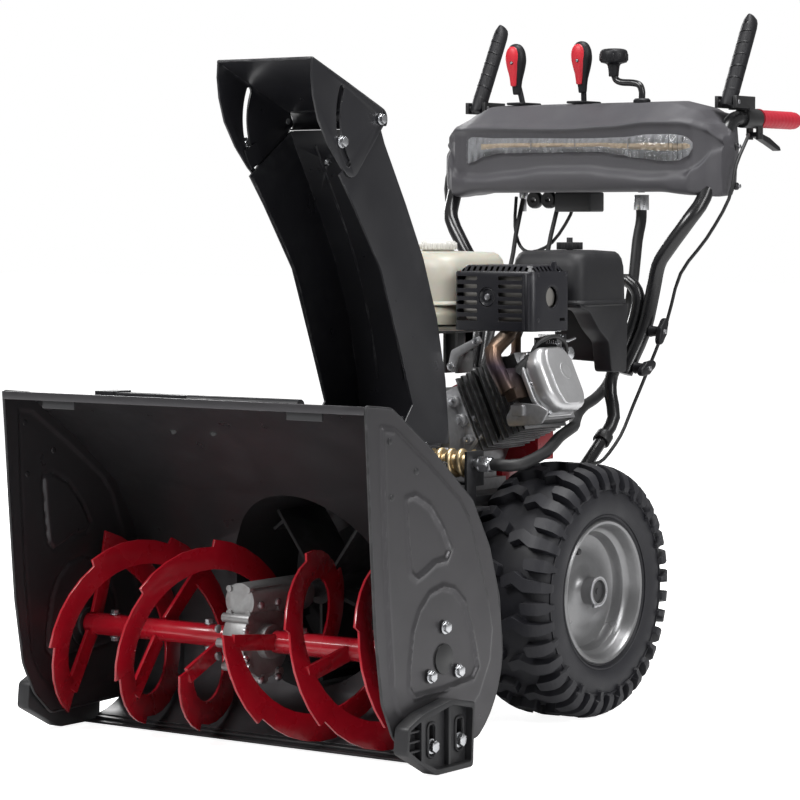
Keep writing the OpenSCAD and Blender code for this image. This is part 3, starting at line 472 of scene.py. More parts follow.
def edge_wear_and_highlight_group():
    """A mask that is high along the edges, for rubbed paint and painted highlights there, and the normal of a
    slightly rounded edge.
    """
    tree, given, out = new_group("edge_wear", {"Vector": "Vector", "Radius": "Float", "Amount": "Float"},
                                 {"Mask": "Float", "Normal": "Vector"})
    bevel = put(tree, "Bevel", {"Radius": given["Radius"]}, samples=4)
    true_normal = put(tree, "NewGeometry").outputs["True Normal"]
    turn = put(tree, "VectorMath", {0: bevel.outputs[0], 1: true_normal}, operation="DOT_PRODUCT")
    edge = ranged(tree, turn.outputs["Value"], 0.985, 0.8, 0.0, 1.0)
    broken = ranged(tree, noise(tree, given["Vector"], 55.0, 6.0), 0.48, 0.66, 0.0, 1.0)
    mask = math_node(tree, "MULTIPLY", math_node(tree, "MULTIPLY", edge, broken), given["Amount"])
    tree.links.new(mask, out["Mask"])
    tree.links.new(bevel.outputs[0], out["Normal"])


def surface_grain_group():
    """Fine roughness and relief, such as paint's orange peel or a mould's grain."""
    tree, given, out = new_group(
        "surface_grain",
        {"Vector": "Vector", "Normal": "Vector", "Scale": "Float", "Depth": "Float", "Roughness": "Float"},
        {"Roughness": "Float", "Normal": "Vector"})
    grain = noise(tree, given["Vector"], given["Scale"], 3.0)
    patches = noise(tree, given["Vector"], 18.0, 4.0)
    swing = ranged(tree, patches, 0.3, 0.7, -0.07, 0.07)
    tree.links.new(math_node(tree, "ADD", given["Roughness"], swing), out["Roughness"])
    bump = put(tree, "Bump", {"Height": grain, "Strength": given["Depth"], "Distance": 0.0006,
                              "Normal": given["Normal"]})
    tree.links.new(bump.outputs[0], out["Normal"])


def dust_group():
    """Thin dust that gathers on faces that look up."""
    tree, given, out = new_group("dust_film", {"Vector": "Vector", "Color": "Color", "Amount": "Float"},
                                 {"Color": "Color"})
    normal = put(tree, "NewGeometry").outputs["Normal"]
    up = ranged(tree, put(tree, "SeparateXYZ", {0: normal}).outputs[2], 0.2, 1.0, 0.15, 1.0)
    patch = ranged(tree, noise(tree, given["Vector"], 26.0, 5.0), 0.42, 0.72, 0.0, 1.0)
    share = math_node(tree, "MULTIPLY", math_node(tree, "MULTIPLY", up, patch), given["Amount"])
    tree.links.new(mixed(tree, share, given["Color"], rgb((0.32, 0.31, 0.29))), out["Color"])


def grouped(tree, name, values):
    """Places a shared effect and gives back its outputs."""
    return feed(tree, put(tree, "Group", node_tree=bpy.data.node_groups[name]), values).outputs


def finish(name, color, roughness, metallic=0.0, coat=0.0, drift=0.12, wear_and_highlight=0.0, worn_and_highlight_tone=(0.45, 0.45, 0.46),
           grain=900.0, depth=0.12, dust=0.04, edge=0.7, pattern=None, relief=None, **shader):
    """One material: tone drift, rubbed edges with painted edge highlights, dust, fine relief and the shader's
    own constants.
    """
    material = bpy.data.materials.new(name)
    material.use_nodes = True
    tree = material.node_tree
    tree.nodes.clear()
    place = put(tree, "TexCoord").outputs["Object"]
    tone = rgb(color) if pattern is None else pattern(tree, place, color)
    tone = grouped(tree, "colour_drift", {"Vector": place, "Color": tone, "Amount": drift})["Color"]
    edges = grouped(tree, "edge_wear", {"Vector": place, "Radius": edge * MM, "Amount": wear_and_highlight})
    # Edges turn to a lighter tone: partly rubbed paint, partly painted highlight along the edges.
    if wear_and_highlight:
        tone = mixed(tree, edges["Mask"], tone, rgb(worn_and_highlight_tone))
    tone = grouped(tree, "dust_film", {"Vector": place, "Color": tone, "Amount": dust})["Color"]
    skin = grouped(tree, "surface_grain", {"Vector": place, "Normal": edges["Normal"], "Scale": grain,
                                           "Depth": depth, "Roughness": roughness})
    normal = skin["Normal"] if relief is None else relief(tree, place, skin["Normal"])
    principled = put(tree, "BsdfPrincipled", {"Base Color": tone, "Roughness": skin["Roughness"],
                                              "Normal": normal, "Metallic": metallic, "Coat Weight": coat,
                                              "Coat Roughness": 0.12, **shader})
    output = put(tree, "OutputMaterial", {"Surface": principled.outputs[0]})
    output.is_active_output = True
    return material


def heat_tint(tree, place, color):
    """Straw, bronze and blue bands where an exhaust pipe has been hot, and a bare silencer above."""
    height = put(tree, "SeparateXYZ", {0: place}).outputs[2]
    wander = math_node(tree, "MULTIPLY", noise(tree, place, 30.0), 0.02)
    share = ranged(tree, math_node(tree, "ADD", height, wander), 0.535, 0.65, 0.0, 1.0)
    ramp = put(tree, "ValToRGB", {0: share})
    stops = ramp.color_ramp.elements
    stops[0].color, stops[1].color = rgb((0.10, 0.07, 0.055)), rgb((0.5, 0.48, 0.45))
    bands = ((0.3, (0.075, 0.055, 0.075)), (0.55, (0.19, 0.12, 0.08)), (0.76, (0.17, 0.13, 0.10)))
    for where, tint in bands:
        stops.new(where).color = rgb(tint)
    return ramp.outputs[0]


def tyre_relief(tree, place, normal):
    """Fine moulding rings on the sidewalls, centred on the axle."""
    axle = centre_mm("tyre_right") * MM
    moved = put(tree, "Mapping", {0: place, 1: (0, -axle.y, -axle.z), 3: (0, 1, 1)}).outputs[0]
    radius = put(tree, "VectorMath", {0: moved}, operation="LENGTH").outputs["Value"]
    rings = math_node(tree, "SINE", math_node(tree, "MULTIPLY", radius, 2400.0))
    return put(tree, "Bump", {"Height": rings, "Strength": 0.05, "Distance": 0.0004,
                              "Normal": normal}).outputs[0]


def tank_shade(tree, place, color):
    """The tank's wall looks a little darker where the fuel stands behind it."""
    height = put(tree, "SeparateXYZ", {0: place}).outputs[2]
    wet = ranged(tree, height, 0.648, 0.66, 1.0, 0.0)
    return mixed(tree, math_node(tree, "MULTIPLY", wet, 0.5), rgb(color), rgb((0.46, 0.43, 0.33)))


def make_finishes(paint, red, console):
    """Every slot's material. Their names are the record's slot names."""
    plain = {slot.material for kept in frame["nodes"].values() for slot in kept.material_slots}
    names = {material: material.name for material in plain}
    for material in plain:
        material.name = "plain_" + material.name
    colour_drift_group()
    edge_wear_and_highlight_group()
    surface_grain_group()
    dust_group()
    # Its light edges are partly rubbed paint, partly painted highlight along the plate's edges.
    finish("housing_paint", paint, 0.34, metallic=0.55, wear_and_highlight=0.5, grain=1500, depth=0.07, drift=0.08)
    finish("black_steel", (0.020, 0.020, 0.022), 0.42, wear_and_highlight=0.5, grain=1300, depth=0.1)
    finish("shoe_plastic", (0.016, 0.016, 0.018), 0.5, grain=1100, depth=0.25, dust=0.08)
    finish("zinc", (0.62, 0.63, 0.65), 0.26, metallic=1.0, grain=700, depth=0.08, drift=0.2)
    finish("bracket_black", (0.016, 0.016, 0.017), 0.4, wear_and_highlight=0.4)
    finish("auger_red", red, 0.27, coat=0.5, wear_and_highlight=0.35, worn_and_highlight_tone=(0.62, 0.16, 0.16), grain=1000, depth=0.06,
           drift=0.1)
    finish("shaft_steel", (0.42, 0.43, 0.45), 0.32, metallic=1.0, grain=1200)
    finish("cast_grey", (0.33, 0.33, 0.33), 0.46, metallic=0.75, grain=520, depth=0.4, drift=0.3)
    finish("tyre_rubber", (0.0105, 0.0105, 0.0145), 0.56, grain=800, depth=0.25, dust=0.06, drift=0.22,
           relief=tyre_relief)
    finish("rim_grey", (0.27, 0.27, 0.275), 0.34, metallic=0.7, grain=1300, depth=0.06, wear_and_highlight=0.25)
    finish("chute_black", (0.0125, 0.0125, 0.0155), 0.34, wear_and_highlight=0.45, grain=1500, depth=0.07, coat=0.1)
    finish("yellow_zinc", (0.72, 0.56, 0.33), 0.32, metallic=0.85, grain=600, drift=0.35)
    finish("sleeve_rubber", (0.014, 0.014, 0.015), 0.55, grain=700, depth=0.2)
    finish("cover_aluminium", (0.66, 0.66, 0.67), 0.36, metallic=0.8, grain=700, depth=0.25, drift=0.12)
    finish("engine_aluminium", (0.43, 0.43, 0.44), 0.45, metallic=0.85, grain=480, depth=0.45, drift=0.35)
    finish("shroud_red", red, 0.28, coat=0.4, grain=900, depth=0.06)
    finish("engine_plastic", (0.015, 0.015, 0.017), 0.5, grain=1400, depth=0.22, drift=0.1,
           **{"Specular IOR Level": 0.35})
    finish("choke_red", (0.35, 0.02, 0.02), 0.4)
    finish("tank_cream", (0.50, 0.47, 0.40), 0.42, grain=900, depth=0.08, pattern=tank_shade, drift=0.05,
           **{"Subsurface Weight": 0.25, "Subsurface Scale": 0.01})
    finish("cap_white", (0.70, 0.69, 0.66), 0.35, grain=800, drift=0.05)
    finish("exhaust_steel", (0.2, 0.15, 0.12), 0.36, metallic=0.9, pattern=heat_tint, grain=600, depth=0.15)
    finish("guard_black", (0.012, 0.012, 0.016), 0.34, wear_and_highlight=0.3, grain=900, depth=0.12)
    finish("tube_gloss_black", (0.008, 0.008, 0.009), 0.26, coat=0.2, grain=1200, depth=0.05, wear_and_highlight=0.2)
    finish("grip_red", (0.50, 0.014, 0.034), 0.5, grain=900, depth=0.25)
    finish("lever_plastic", (0.010, 0.010, 0.012), 0.46, grain=1200, depth=0.22,
           **{"Specular IOR Level": 0.3})
    finish("console_grey", console, 0.52, grain=1500, depth=0.22, drift=0.07)
    finish("lens_clear", (0.96, 0.97, 0.98), 0.12, dust=0.0, drift=0.0, depth=0.0, edge=0.05, coat=1.0,
           **{"Transmission Weight": 1.0, "IOR": 1.03})
    finish("lamp_amber", (0.50, 0.38, 0.26), 0.4, drift=0.05, dust=0.0, depth=0.0, edge=0.05)
    finish("lamp_silver", (0.27, 0.27, 0.28), 0.4, drift=0.03, dust=0.0, depth=0.0, edge=0.05)
    # The fin edges turn near white at full strength: painted highlights along the fin edges.
    finish("fin_black", (0.020, 0.020, 0.021), 0.45, metallic=0.3, wear_and_highlight=1.0, worn_and_highlight_tone=(0.75, 0.75, 0.75),
           grain=600, depth=0.3)
    finish("insert_red", (0.56, 0.016, 0.03), 0.4, grain=900, depth=0.12)
    finish("screw_steel", (0.5, 0.5, 0.52), 0.3, metallic=1.0)
    for kept in frame["nodes"].values():
        for slot in kept.material_slots:
            slot.material = bpy.data.materials[names[slot.material]]


# ---- wheels -----------------------------------------------------------------


def tyre_profile():
    """Half of the carcass from the tread's middle to the bead, as (distance across, radius)."""
    return [(0, 188), (30, 187.5), (50, 185), (62, 178), (70, 166), (74.5, 150), (74, 134), (70, 123),
            (66, 118), (60, 113), (52, 108)]


def along_profile(profile, t):
    """The point at arc length t from the middle, and the direction away from the carcass."""
    for (u0, r0), (u1, r1) in zip(profile, profile[1:]):
        length = math.hypot(u1 - u0, r1 - r0)
        if t <= length:
            break
        t -= length
    du, dr = (u1 - u0) / length, (r1 - r0) / length
    return u0 + du * t, r0 + dr * t, -dr, du


def lug(outline, height, side, turn):
    """A tread block drawn flat, then laid round the carcass from the tread down the shoulder."""
    profile = curve([(p[0], p[1], 0) for p in tyre_profile()], 3)
    profile = [(p.x, p.y) for p in profile]
    bm = slab(outline, 1.0)
    for t in range(8, 90, 7):
        bmesh.ops.bisect_plane(bm, geom=bm.verts[:] + bm.edges[:] + bm.faces[:], dist=1e-4,
                               plane_co=(t, 0, 0), plane_no=(1, 0, 0))
    tops = [e for e in bm.edges if min(v.co.z for v in e.verts) > 0.5 and e.calc_face_angle(0.0) > 0.8]
    rounded(bm, tops, 0.08, 1)
    for v in bm.verts:
        t, s, share = v.co.x, v.co.y, v.co.z
        rise = blended(t, [(0, height), (62, height), (76, height * 0.7), (86, 6.0)])
        u, r, out_u, out_r = along_profile(profile, max(t, 0.5))
        rise = share * (rise + 3) - 3
        u, r = min(u + out_u * rise, 81.5), min(r + out_r * rise, 202.6)
        angle = math.radians(turn) + s * (1 - 0.12 * share) / 190
        v.co = (side * u, r * math.cos(angle), r * math.sin(angle))
    return outward(bm)


def make_tyres(lugs):
    half = tyre_profile()
    ring = [(r, u) for u, r in half] + [(r, -u) for u, r in reversed(half[1:])]
    long_lug = soft([(3, -14), (26, -24), (44, -13), (62, -10), (84, -8), (84, 8), (62, 10), (42, 9),
                     (24, -4), (6, 5)], 2, 1)
    short_lug = soft([(38, -9), (60, -11), (74, -10), (76, -5), (90, -5), (90, 5), (76, 6), (74, 10),
                      (58, 11), (40, 9)], 2, 1)
    pitch = 360 / lugs
    for name in SIDES:
        middle = centre_mm("tyre_" + name)
        piece = Piece("tyre_rubber")
        piece.add(lathe(ring, 96), at(middle.x, middle.y, middle.z, "x"))
        for r, u in ((122, 71.0), (163, 73.0), (116, 66.5)):
            for side in (-1, 1):
                rib = [(r - 1.2, side * (u - 2)), (r - 0.9, side * u), (r + 0.9, side * u),
                       (r + 1.2, side * (u - 2))]
                piece.add(lathe(rib, 96), at(middle.x, middle.y, middle.z, "x"))
        for k in range(lugs):
            for side in (-1, 1):
                turn = (k + side / 4) * pitch
                outline = long_lug if k % 2 else short_lug
                piece.add(lug(outline, 15, side, turn), Matrix.Translation(middle))
                for s in (-4, 4) if k % 2 else ():
                    a = math.radians(turn) + s / 190
                    stud = pin(2.2, 1.3, 0.3, 8)
                    outwards = Vector((0, math.cos(a), math.sin(a)))
                    spot = middle + Vector((side * 48, 0, 0)) + outwards * 198.6
                    place = Matrix.Translation(spot) @ outwards.to_track_quat("Z", "Y").to_matrix().to_4x4()
                    piece.add(stud, place)
        piece.done("tyre_" + name + "_moulded", "wheel_" + name, "tyre_" + name, sharp=32)


def make_rims():
    """Pressed disc wheels with a deep dish, a hub tube, a circlip and a valve."""
    dish = [(111, 66), (114, 64), (114.5, 67), (112, 69.5), (108, 68.5), (105, 63), (103, 52),
            (100, 47), (95, 44), (92.5, 38), (92, 34), (89, 28), (82, 25), (62, 24), (56, 26), (44, 27),
            (34, 29), (26, 33), (22.5, 38), (22.5, 34), (26, 29), (34, 25), (44, 23), (56, 22),
            (62, 20), (82, 21), (90, 24), (92, 18), (92, -38), (95, -44), (100, -47), (103, -52),
            (105, -63), (108, -68.5), (112, -69.5), (114.5, -67), (114, -64), (111, -66), (108, -62),
            (106, -50), (97, -40), (95, -34), (95, 34), (97, 40), (106, 50), (108, 62)]
    hub = [(18.5, -58), (22.5, -58), (22.5, 57), (21.5, 59), (18.5, 59)]
    clip = [(21.5, 56), (24, 56), (24.6, 57.6), (24, 59.2), (21.5, 59.2)]
    for name, sign in SIDES.items():
        middle = centre_mm("tyre_" + name)
        piece = Piece("rim_grey", "shaft_steel", "black_steel", "screw_steel")
        place = at(0, middle.y, middle.z, "x")
        piece.add(lathe(dish, 96), place)
        piece.add(lathe(hub, 48), place, 0)
        piece.add(lathe(clip, 48), place, 3)
        piece.add(lathe([(0, -130), (17.6, -130), (17.6, 54), (16.4, 55.4), (0, 55.4)], 40), place, 2)
        piece.add(lathe([(0, 55), (5, 55), (5, 56.6), (0, 56.6)], 24), place, 2)
        piece.add(block((6, 9, 5), 1), at(58, middle.y - 12, middle.z - 22), 3)
        piece.add(pin(4.2, 30, 1.2), at(16, middle.y - 40, middle.z + 66, "x"), 2)
        piece.add(pin(5.4, 12, 1.5), at(36, middle.y - 40, middle.z + 66, "x"), 2)
        bmesh.ops.translate(piece.bm, vec=(abs(middle.x), 0, 0), verts=piece.bm.verts)
        piece.to_side(sign)
        piece.done("rim_" + name + "_pressed", "wheel_" + name, "rim_" + name, sharp=30)


# ---- housing ----------------------------------------------------------------

PLATE_OUTLINE = [(-695, 532), (-633, 526), (-537, 464), (-433, 383), (-390, 313), (-363, 235),
                 *arc(*AUGER_AXIS, 154.5, 14, -54, 8), (-593, 29), (-629, 63), (-654, 113), (-670, 212),
                 (-681, 356)]
PANEL_OUTLINE = [(-660, 502), (-628, 497), (-546, 443), (-467, 386), (-444, 358), (-396, 238), (-384, 190),
                 (-390, 145), (-417, 98), (-460, 62), (-530, 46), (-580, 58), (-616, 90), (-636, 133),
                 (-648, 250), (-656, 380)]
LEAF_OUTLINE = [(-603, 398), (-582, 401), (-546, 384), (-512, 347), (-494, 316), (-504, 302), (-532, 300),
                (-560, 287), (-578, 281), (-592, 292), (-599, 346)]
ARCH_OUTLINE = [(-597, 128), (-583, 113), (-510, 115), (-437, 122), (-423, 139), (-440, 196), (-458, 236),
                (-484, 258), (-513, 265), (-545, 258), (-571, 236), (-586, 208), (-595, 159)]


def plate_height(u, v):
    """How far the side plate stands out at a point: a raised panel with two beads pressed in it."""
    if abs(depth_inside(PLATE_OUTLINE, u, v)) < 4:
        return 0.0
    h = 3.2 * smooth_step((depth_inside(PANEL_OUTLINE, u, v) + 3) / 6)
    if u < -632:
        h += 0.8 * math.exp(-(((depth_inside(PANEL_OUTLINE, u, v) - 4) / 3) ** 2))
    for outline in (LEAF_OUTLINE, ARCH_OUTLINE):
        d = depth_inside(outline, u, v)
        h += 2.5 * math.exp(-((d / 3.2) ** 2)) - 1.7 * smooth_step(d / 6)
    return h


def make_side_plates(pitch):
    inner = box_mm("side_plate_right")[1].x - 4.0
    for name, sign in SIDES.items():
        piece = Piece("housing_paint", "black_steel")
        piece.add(stamped(PLATE_OUTLINE, pitch, 2.6, plate_height), at(inner - 0.2, 0, 0, "x"))
        # A black steel rod round the plate's outline: painted shade of the gap along the plate's edge.
        lip = [(inner - 2.4, max(p.x, -692.2), p.y) for p in soft(PLATE_OUTLINE, 6, 2)]
        piece.add(tube([*lip, lip[0]], 2.4, 8, 1), finish=1)
        for y, z in ((-643, 481), (-579, 435), (-638, 402)):
            piece.add(pin(4.6, 5, 0.3, 20), at(inner - 0.6, y, z, "x"), 1)
        piece.to_side(sign)
        piece.done("side_plate_" + name + "_pressed", "chassis", "side_plate_" + name, sharp=50)


def make_shoes():
    """Moulded skid shoes: a framed box with a ribbed nose and two bolt slots."""
    outer = [(-633, 78), (-637, 40), (-563, 1), (-471, 1), (-466, 95), (-523, 106), (-598, 93)]
    main = [(-593, 84), (-593, 24), (-560, 9), (-477, 9), (-473, 87), (-523, 98)]
    nose = [(-628, 73), (-631, 45), (-601, 26), (-601, 84)]
    for name, sign in SIDES.items():
        flip = Matrix.Diagonal((sign, 1, 1, 1))
        inner = box_mm("skid_shoe_right")[0].x
        piece = Piece("shoe_plastic")
        piece.add(slab(soft(outer, 6), 24, 2), at(inner, 0, 0, "x"))
        piece.to_side(sign)
        shoe = piece.done("skid_shoe_" + name + "_moulded", "chassis", "skid_shoe_" + name)
        pockets = [(slab(soft(p, 4), 20), at(inner + 12.2, 0, 0, "x")) for p in (main, nose)]
        cut(shoe, joined(pockets), flip)
        slots = [(slab(rectangle(13, 43, 6), 40), at(inner - 8, y, 51, "x")) for y in (-561, -492)]
        cut(shoe, joined(slots), flip)
        ribs = Piece("shoe_plastic")
        for k in range(3):
            ribs.add(block((10, 29, 3.4), 1), at(inner + 16.5, -615, 42 + 14 * k))
        ribs.add(block((9, 5, 84), 1), at(inner + 16, -526, 53))
        for y in (-561, -492):
            edge = [(inner + 13, y + p[0], 51 + p[1]) for p in rectangle(19, 49, 8)]
            ribs.add(tube([*edge, edge[0]], 2.2, 8, 1))
        ribs.to_side(sign)
        ribs.done("skid_shoe_" + name + "_ribs", "chassis")


def make_housing_trim():
    """Lip roll, carriage bolt heads, bearing plates and weld beads of the housing."""
    lo, hi = box_mm("auger_housing")
    piece = Piece("housing_paint", "screw_steel", "black_steel")
    piece.add(tube([(x, lo.y + 4.5, hi.z - 3.4) for x in (lo.x + 4, 0, hi.x - 4)], 3.2, 10, 6))
    for x in (-118, -40):
        piece.add(lathe([(0, 0), (7, 0), (5.4, 2.4), (2, 3.6), (0, 3.8)], 20), at(x, -560, 474, "y"), 2)
    piece.add(block((hi.x - lo.x - 16, 14, 4.4), 1), at(0, -492, 9), 2)
    for x in (-232, 232):
        piece.add(block((64, 3, 16), 1.2), at(x, -689.5, hi.z - 16), 2)
    piece.done("housing_trim", "chassis")


# ---- console ----------------------------------------------------------------


def console_setback(x):
    """How far the console's front lies behind its middle."""
    return blended(abs(x), [(150, 0), (200, 4), (240, 16), (262, 34), (281, 52)])


def console_ring(x):
    """The console's section at x as (y, z) points, from the lower front edge up and over."""
    a, k = abs(x), console_setback(x)
    top = blended(a, [(185, 994), (225, 982), (258, 955), (281, 938)])
    back = blended(a, [(180, 545), (235, 530), (262, 480), (281, 440)])
    base = blended(a, [(180, 838), (240, 832), (281, 829)])
    fold = blended(a, [(40, 878), (110, 871), (165, 866), (232, 868), (252, 884), (268, 905), (281, 912)])
    crest = blended(x, [(-240, 946), (-178, 948), (0, 944), (90, 947), (165, 953), (215, 952), (281, 940)])
    crest = min(crest, top - 14)
    corners = [(352 + k, base), (342 + k, base + 6), (338 + k, (base + fold) / 2), (339 + k, fold - 5),
               (348 + k, fold + 4), (349 + k, (fold + crest) / 2), (348 + k, crest - 5), (341 + k, crest + 3),
               (min(354 + k, back - 34), crest + 11), (min(394 + k, back - 22), top - 4),
               (min(440, back - 14), top), (back - 8, top - 9), (back, min(912, top - 20)),
               (min(500, back - 4), 852), (min(430 + k / 2, back - 10), base + 3)]
    ring = soft(corners, 5, 3)
    shrink = math.sqrt(max(0.0, 1 - ((a - 268) / 13) ** 2)) * 0.07 + 0.93 if a > 268 else 1.0
    middle = (sum(p.x for p in ring) / len(ring), sum(p.y for p in ring) / len(ring))
    return [(middle[0] + (p.x - middle[0]) * shrink, middle[1] + (p.y - middle[1]) * shrink) for p in ring]


def make_console():
    stations = [-281, -280, -277, -273, -268, *range(-261, 262, 9), 268, 273, 277, 280, 281]
    piece = Piece("console_grey", "black_steel")
    body = loft([[(x, y, z) for y, z in console_ring(x)] for x in stations])
    console = piece.add(body).done("console_shell", "chassis", "console", sharp=50)
    for x in HAND_LEVER_X.values():
        cut(console, block((22, 52, 60), 2), at(x, HAND_LEVER_Y, 985))
    cut(console, pin(9, 60), at(108, CRANK_Y, 950))
    trim = Piece("lever_plastic", "screw_steel", "black_steel")
    for x in HAND_LEVER_X.values():
        rim = [(x + p[0], HAND_LEVER_Y + p[1], 995) for p in rectangle(32, 62, 6)]
        trim.add(tube([*rim, rim[0]], 2.2, 8, 1))
    trim.add(lathe([(8, 990), (15, 990), (15, 996), (12, 999), (8, 999)], 32), at(108, CRANK_Y, 0))
    for sign in (-1, 1):
        for z in (848, 915):
            trim.add(pin(6.5, 6, 1.4), at(sign * 276 - 3, 452, z, "x"), 2)
            trim.add(hexagon_bolt(8, 5), at(sign * 276 + (3 if sign > 0 else -8), 452, z, "x"), 1)
    trim.add(block((74, 46, 34), 3), at(-12, 410, 822), 2)
    for x in (-96, -66):
        trim.add(lathe([(5, -7), (13, -7), (15, -4), (15, 4), (13, 7), (5, 7)], 28), at(x, 398, 826, "y"), 2)
    for x, y in ((-141, 430), (-60, 424)):
        trim.add(lathe([(0, 0), (6, 0), (8, 4), (8, 12), (6, 16), (0, 16)], 24), at(x, y, 828), 1)
        trim.add(pin(5, 26, 1), at(x, y, 806), 1)
    trim.done("console_fittings", "chassis")


def lens_edges(x):
    """Lower and upper edge of the lens at x."""
    low = blended(x, [(-207, 890), (-193, 894), (-176, 901), (-135, 907), (68, 907), (110, 901), (150, 895),
                      (190, 890), (216, 890), (234, 899), (242, 912)])
    high = blended(x, [(-207, 931), (-197, 936), (-135, 933), (60, 930), (120, 931), (165, 935), (208, 935),
                       (228, 932), (242, 920)])
    return low, high


def lens_strip(x0, x1, lift, thickness, low_share=0.0, high_share=1.0):
    """A strip that follows the console's front between shares of the lens's height."""
    rings = []
    count = 60
    for i in range(count + 1):
        x = x0 + (x1 - x0) * i / count
        low, high = lens_edges(x)
        low, high = low + (high - low) * low_share, low + (high - low) * high_share
        y = 347.5 + console_setback(x) - lift
        mid = (low + high) / 2
        crown = 1.8 * (high_share - low_share)
        rings.append([(x, y, low), (x, y - crown, mid), (x, y, high), (x, y + thickness, high),
                      (x, y - crown + thickness, mid), (x, y + thickness, low)])
    return loft(rings)


def make_lens():
    lamp = Piece("lamp_silver", "lamp_amber", "lamp_silver")
    lamp.add(lens_strip(-206, 241, 0.5, 4))
    lamp.add(lens_strip(-176, 238, 2.2, 2, 0.38, 0.66), finish=1)
    for x in (-70, 20, 126):
        low, high = lens_edges(x)
        divider = block((1.4, 1.2, (high - low) * 0.9), 0.2, 1)
        lamp.add(divider, at(x, 344.6 + console_setback(x), (low + high) / 2))
    lamp.done("lamp_strip", "chassis")
    lens = Piece("lens_clear")
    lens.add(lens_strip(-207, 242, 5.2, 2.2))
    for k in range(7):
        share = 0.18 + k * 0.11
        lens.add(lens_strip(128, 232, 6.6, 1.2, share, share + 0.03))
    lens.done("lamp_lens", "chassis", "console_lens", sharp=60)


# ---- levers, grips and knobs ---------------------------------------------------


def shell_section(outer, inner, squeeze=1.0):
    """A half round channel's section, open below."""
    outside = arc(0, 0, outer, -16, 196, 14)
    inside = arc(0, 0, inner, 196, -16, 14)
    return [(x * squeeze, z) for x, z in outside + inside]


def make_clutch_levers():
    x, (y, z) = centre_mm("clutch_lever_right").x, CLUTCH_PIVOT
    # Distance from the pivot, radius, and how much narrower the section is.
    sections = ((-10, 12, 0.8), (-4, 14, 0.92), (10, 15, 0.94), (60, 14.6, 0.97), (120, 14.2, 1.0),
                (146, 14, 1.0), (156, 13.6, 0.93), (163, 12.8, 0.76), (167.5, 11.8, 0.45))
    for name, sign in SIDES.items():
        piece = Piece("lever_plastic", "screw_steel")
        place = Matrix.Translation((x, y, z)) @ Matrix.Rotation(math.radians(62), 4, "X")
        rings = []
        for v, outer, squeeze in sections:
            rings.append([(u, v, w - 1) for u, w in shell_section(outer, outer - 2.8, squeeze)])
        piece.add(loft(rings), place)
        for k in range(6):
            v = 18 + 23 * k
            band = []
            for s in (-1.6, -0.8, 0.8, 1.6):
                section = shell_section(15.7 - 0.1 * k - abs(s) * 0.4, 13.4, 0.94)
                band.append([(u, v + s + 0.25 * u, w - 1) for u, w in section])
            piece.add(loft(band), place)
        piece.add(block((24, 22, 14), 4), place @ at(0, 2, 2))
        piece.add(pin(3.9, 43, 0.8), Matrix.Translation((x - 21.5, y, z)) @ FACING["x"], 1)
        piece.to_side(sign)
        node = "clutch_lever_" + name
        lever = piece.done(node + "_moulded", node, node)
        hole = place @ at(0, 150, 0)
        if sign < 0:
            hole = Matrix.Diagonal((-1, 1, 1, 1)) @ hole
        cut(lever, pin(3.2, 40, 0.1), hole)


def make_grips():
    lo, hi = box_mm("grips")
    radius = (hi.z - lo.z) / 2
    centre_z = (hi.z + lo.z) / 2
    profile = [(13, lo.y), (radius, lo.y), (radius, lo.y + 4), (radius - 2.4, lo.y + 7)]
    for i in range(9):
        y = lo.y + 12 + i * 12.5
        profile += [(radius - 2.6, y), (radius - 1.9, y + 3), (radius - 1.9, y + 7), (radius - 2.6, y + 10)]
    profile += [(radius - 2.6, hi.y - 9), (radius - 4.2, hi.y - 3.5), (radius - 8, hi.y - 0.6),
                (0, hi.y - 0.2)]
    profile = [(0, lo.y + 20), (12.9, lo.y + 20)] + profile
    piece = Piece("grip_red")
    for sign in (-1, 1):
        form = lathe([(r, h) for r, h in profile], 40)
        # The lathe's height runs along -Y in this facing, so the grip is turned to run along +Y.
        place = Matrix(((1, 0, 0, sign * (hi.x - radius)), (0, 0, 1, 0), (0, -1, 0, centre_z), (0, 0, 0, 1)))
        piece.add(form, place)
    piece.done("grips_moulded", "chassis", "grips", sharp=45)


def knob_form(scale, front):
    """A teardrop knob, flattened front to back."""
    profile = [(0, 0), (6.5, 0), (8, 4), (8.8, 12), (11, 25), (15.4, 40), (18.6, 54), (19.2, 63), (17.8, 74),
               (13.6, 83), (7.5, 88), (0, 89.5)]
    form = lathe([(max(p.x, 0) * scale, p.y) for p in curve([(r, h, 0) for r, h in profile], 2)], 32)
    bmesh.ops.scale(form, vec=(1, front, 1), verts=form.verts)
    return form


def make_hand_levers():
    for name, x in HAND_LEVER_X.items():
        lean = -12 if name == "speed_lever" else 0
        piece = Piece("lever_plastic", "insert_red", "screw_steel")
        y = HAND_LEVER_Y
        piece.add(pin(4.9, 31.6, 0.4), at(x - 15.8, y, 950, "x"))
        piece.add(tube([(x, y, 946), (x, y, 975), (x + lean * 0.3, y, 1000), (x + lean, y - 2, 1034)], 5, 14))
        top = Matrix.Translation((x + lean, 426, 1012)) @ Matrix.Rotation(math.radians(3), 4, "X")
        piece.add(knob_form(1.0, 0.78), top)
        face = knob_form(0.76, 0.5)
        bmesh.ops.scale(face, vec=(1, 1, 0.78), verts=face.verts)
        bmesh.ops.translate(face, vec=(-1.5, -8.6, 15), verts=face.verts)
        piece.add(face, top, 1)
        piece.add(pin(3.0, 2.4, 0.5), top @ at(0, -14.2, 56, "y"))
        piece.add(pin(2.0, 1.2, 0.3), top @ at(0, -16.0, 56, "y"), 2)
        piece.done(name + "_moulded", name, name)


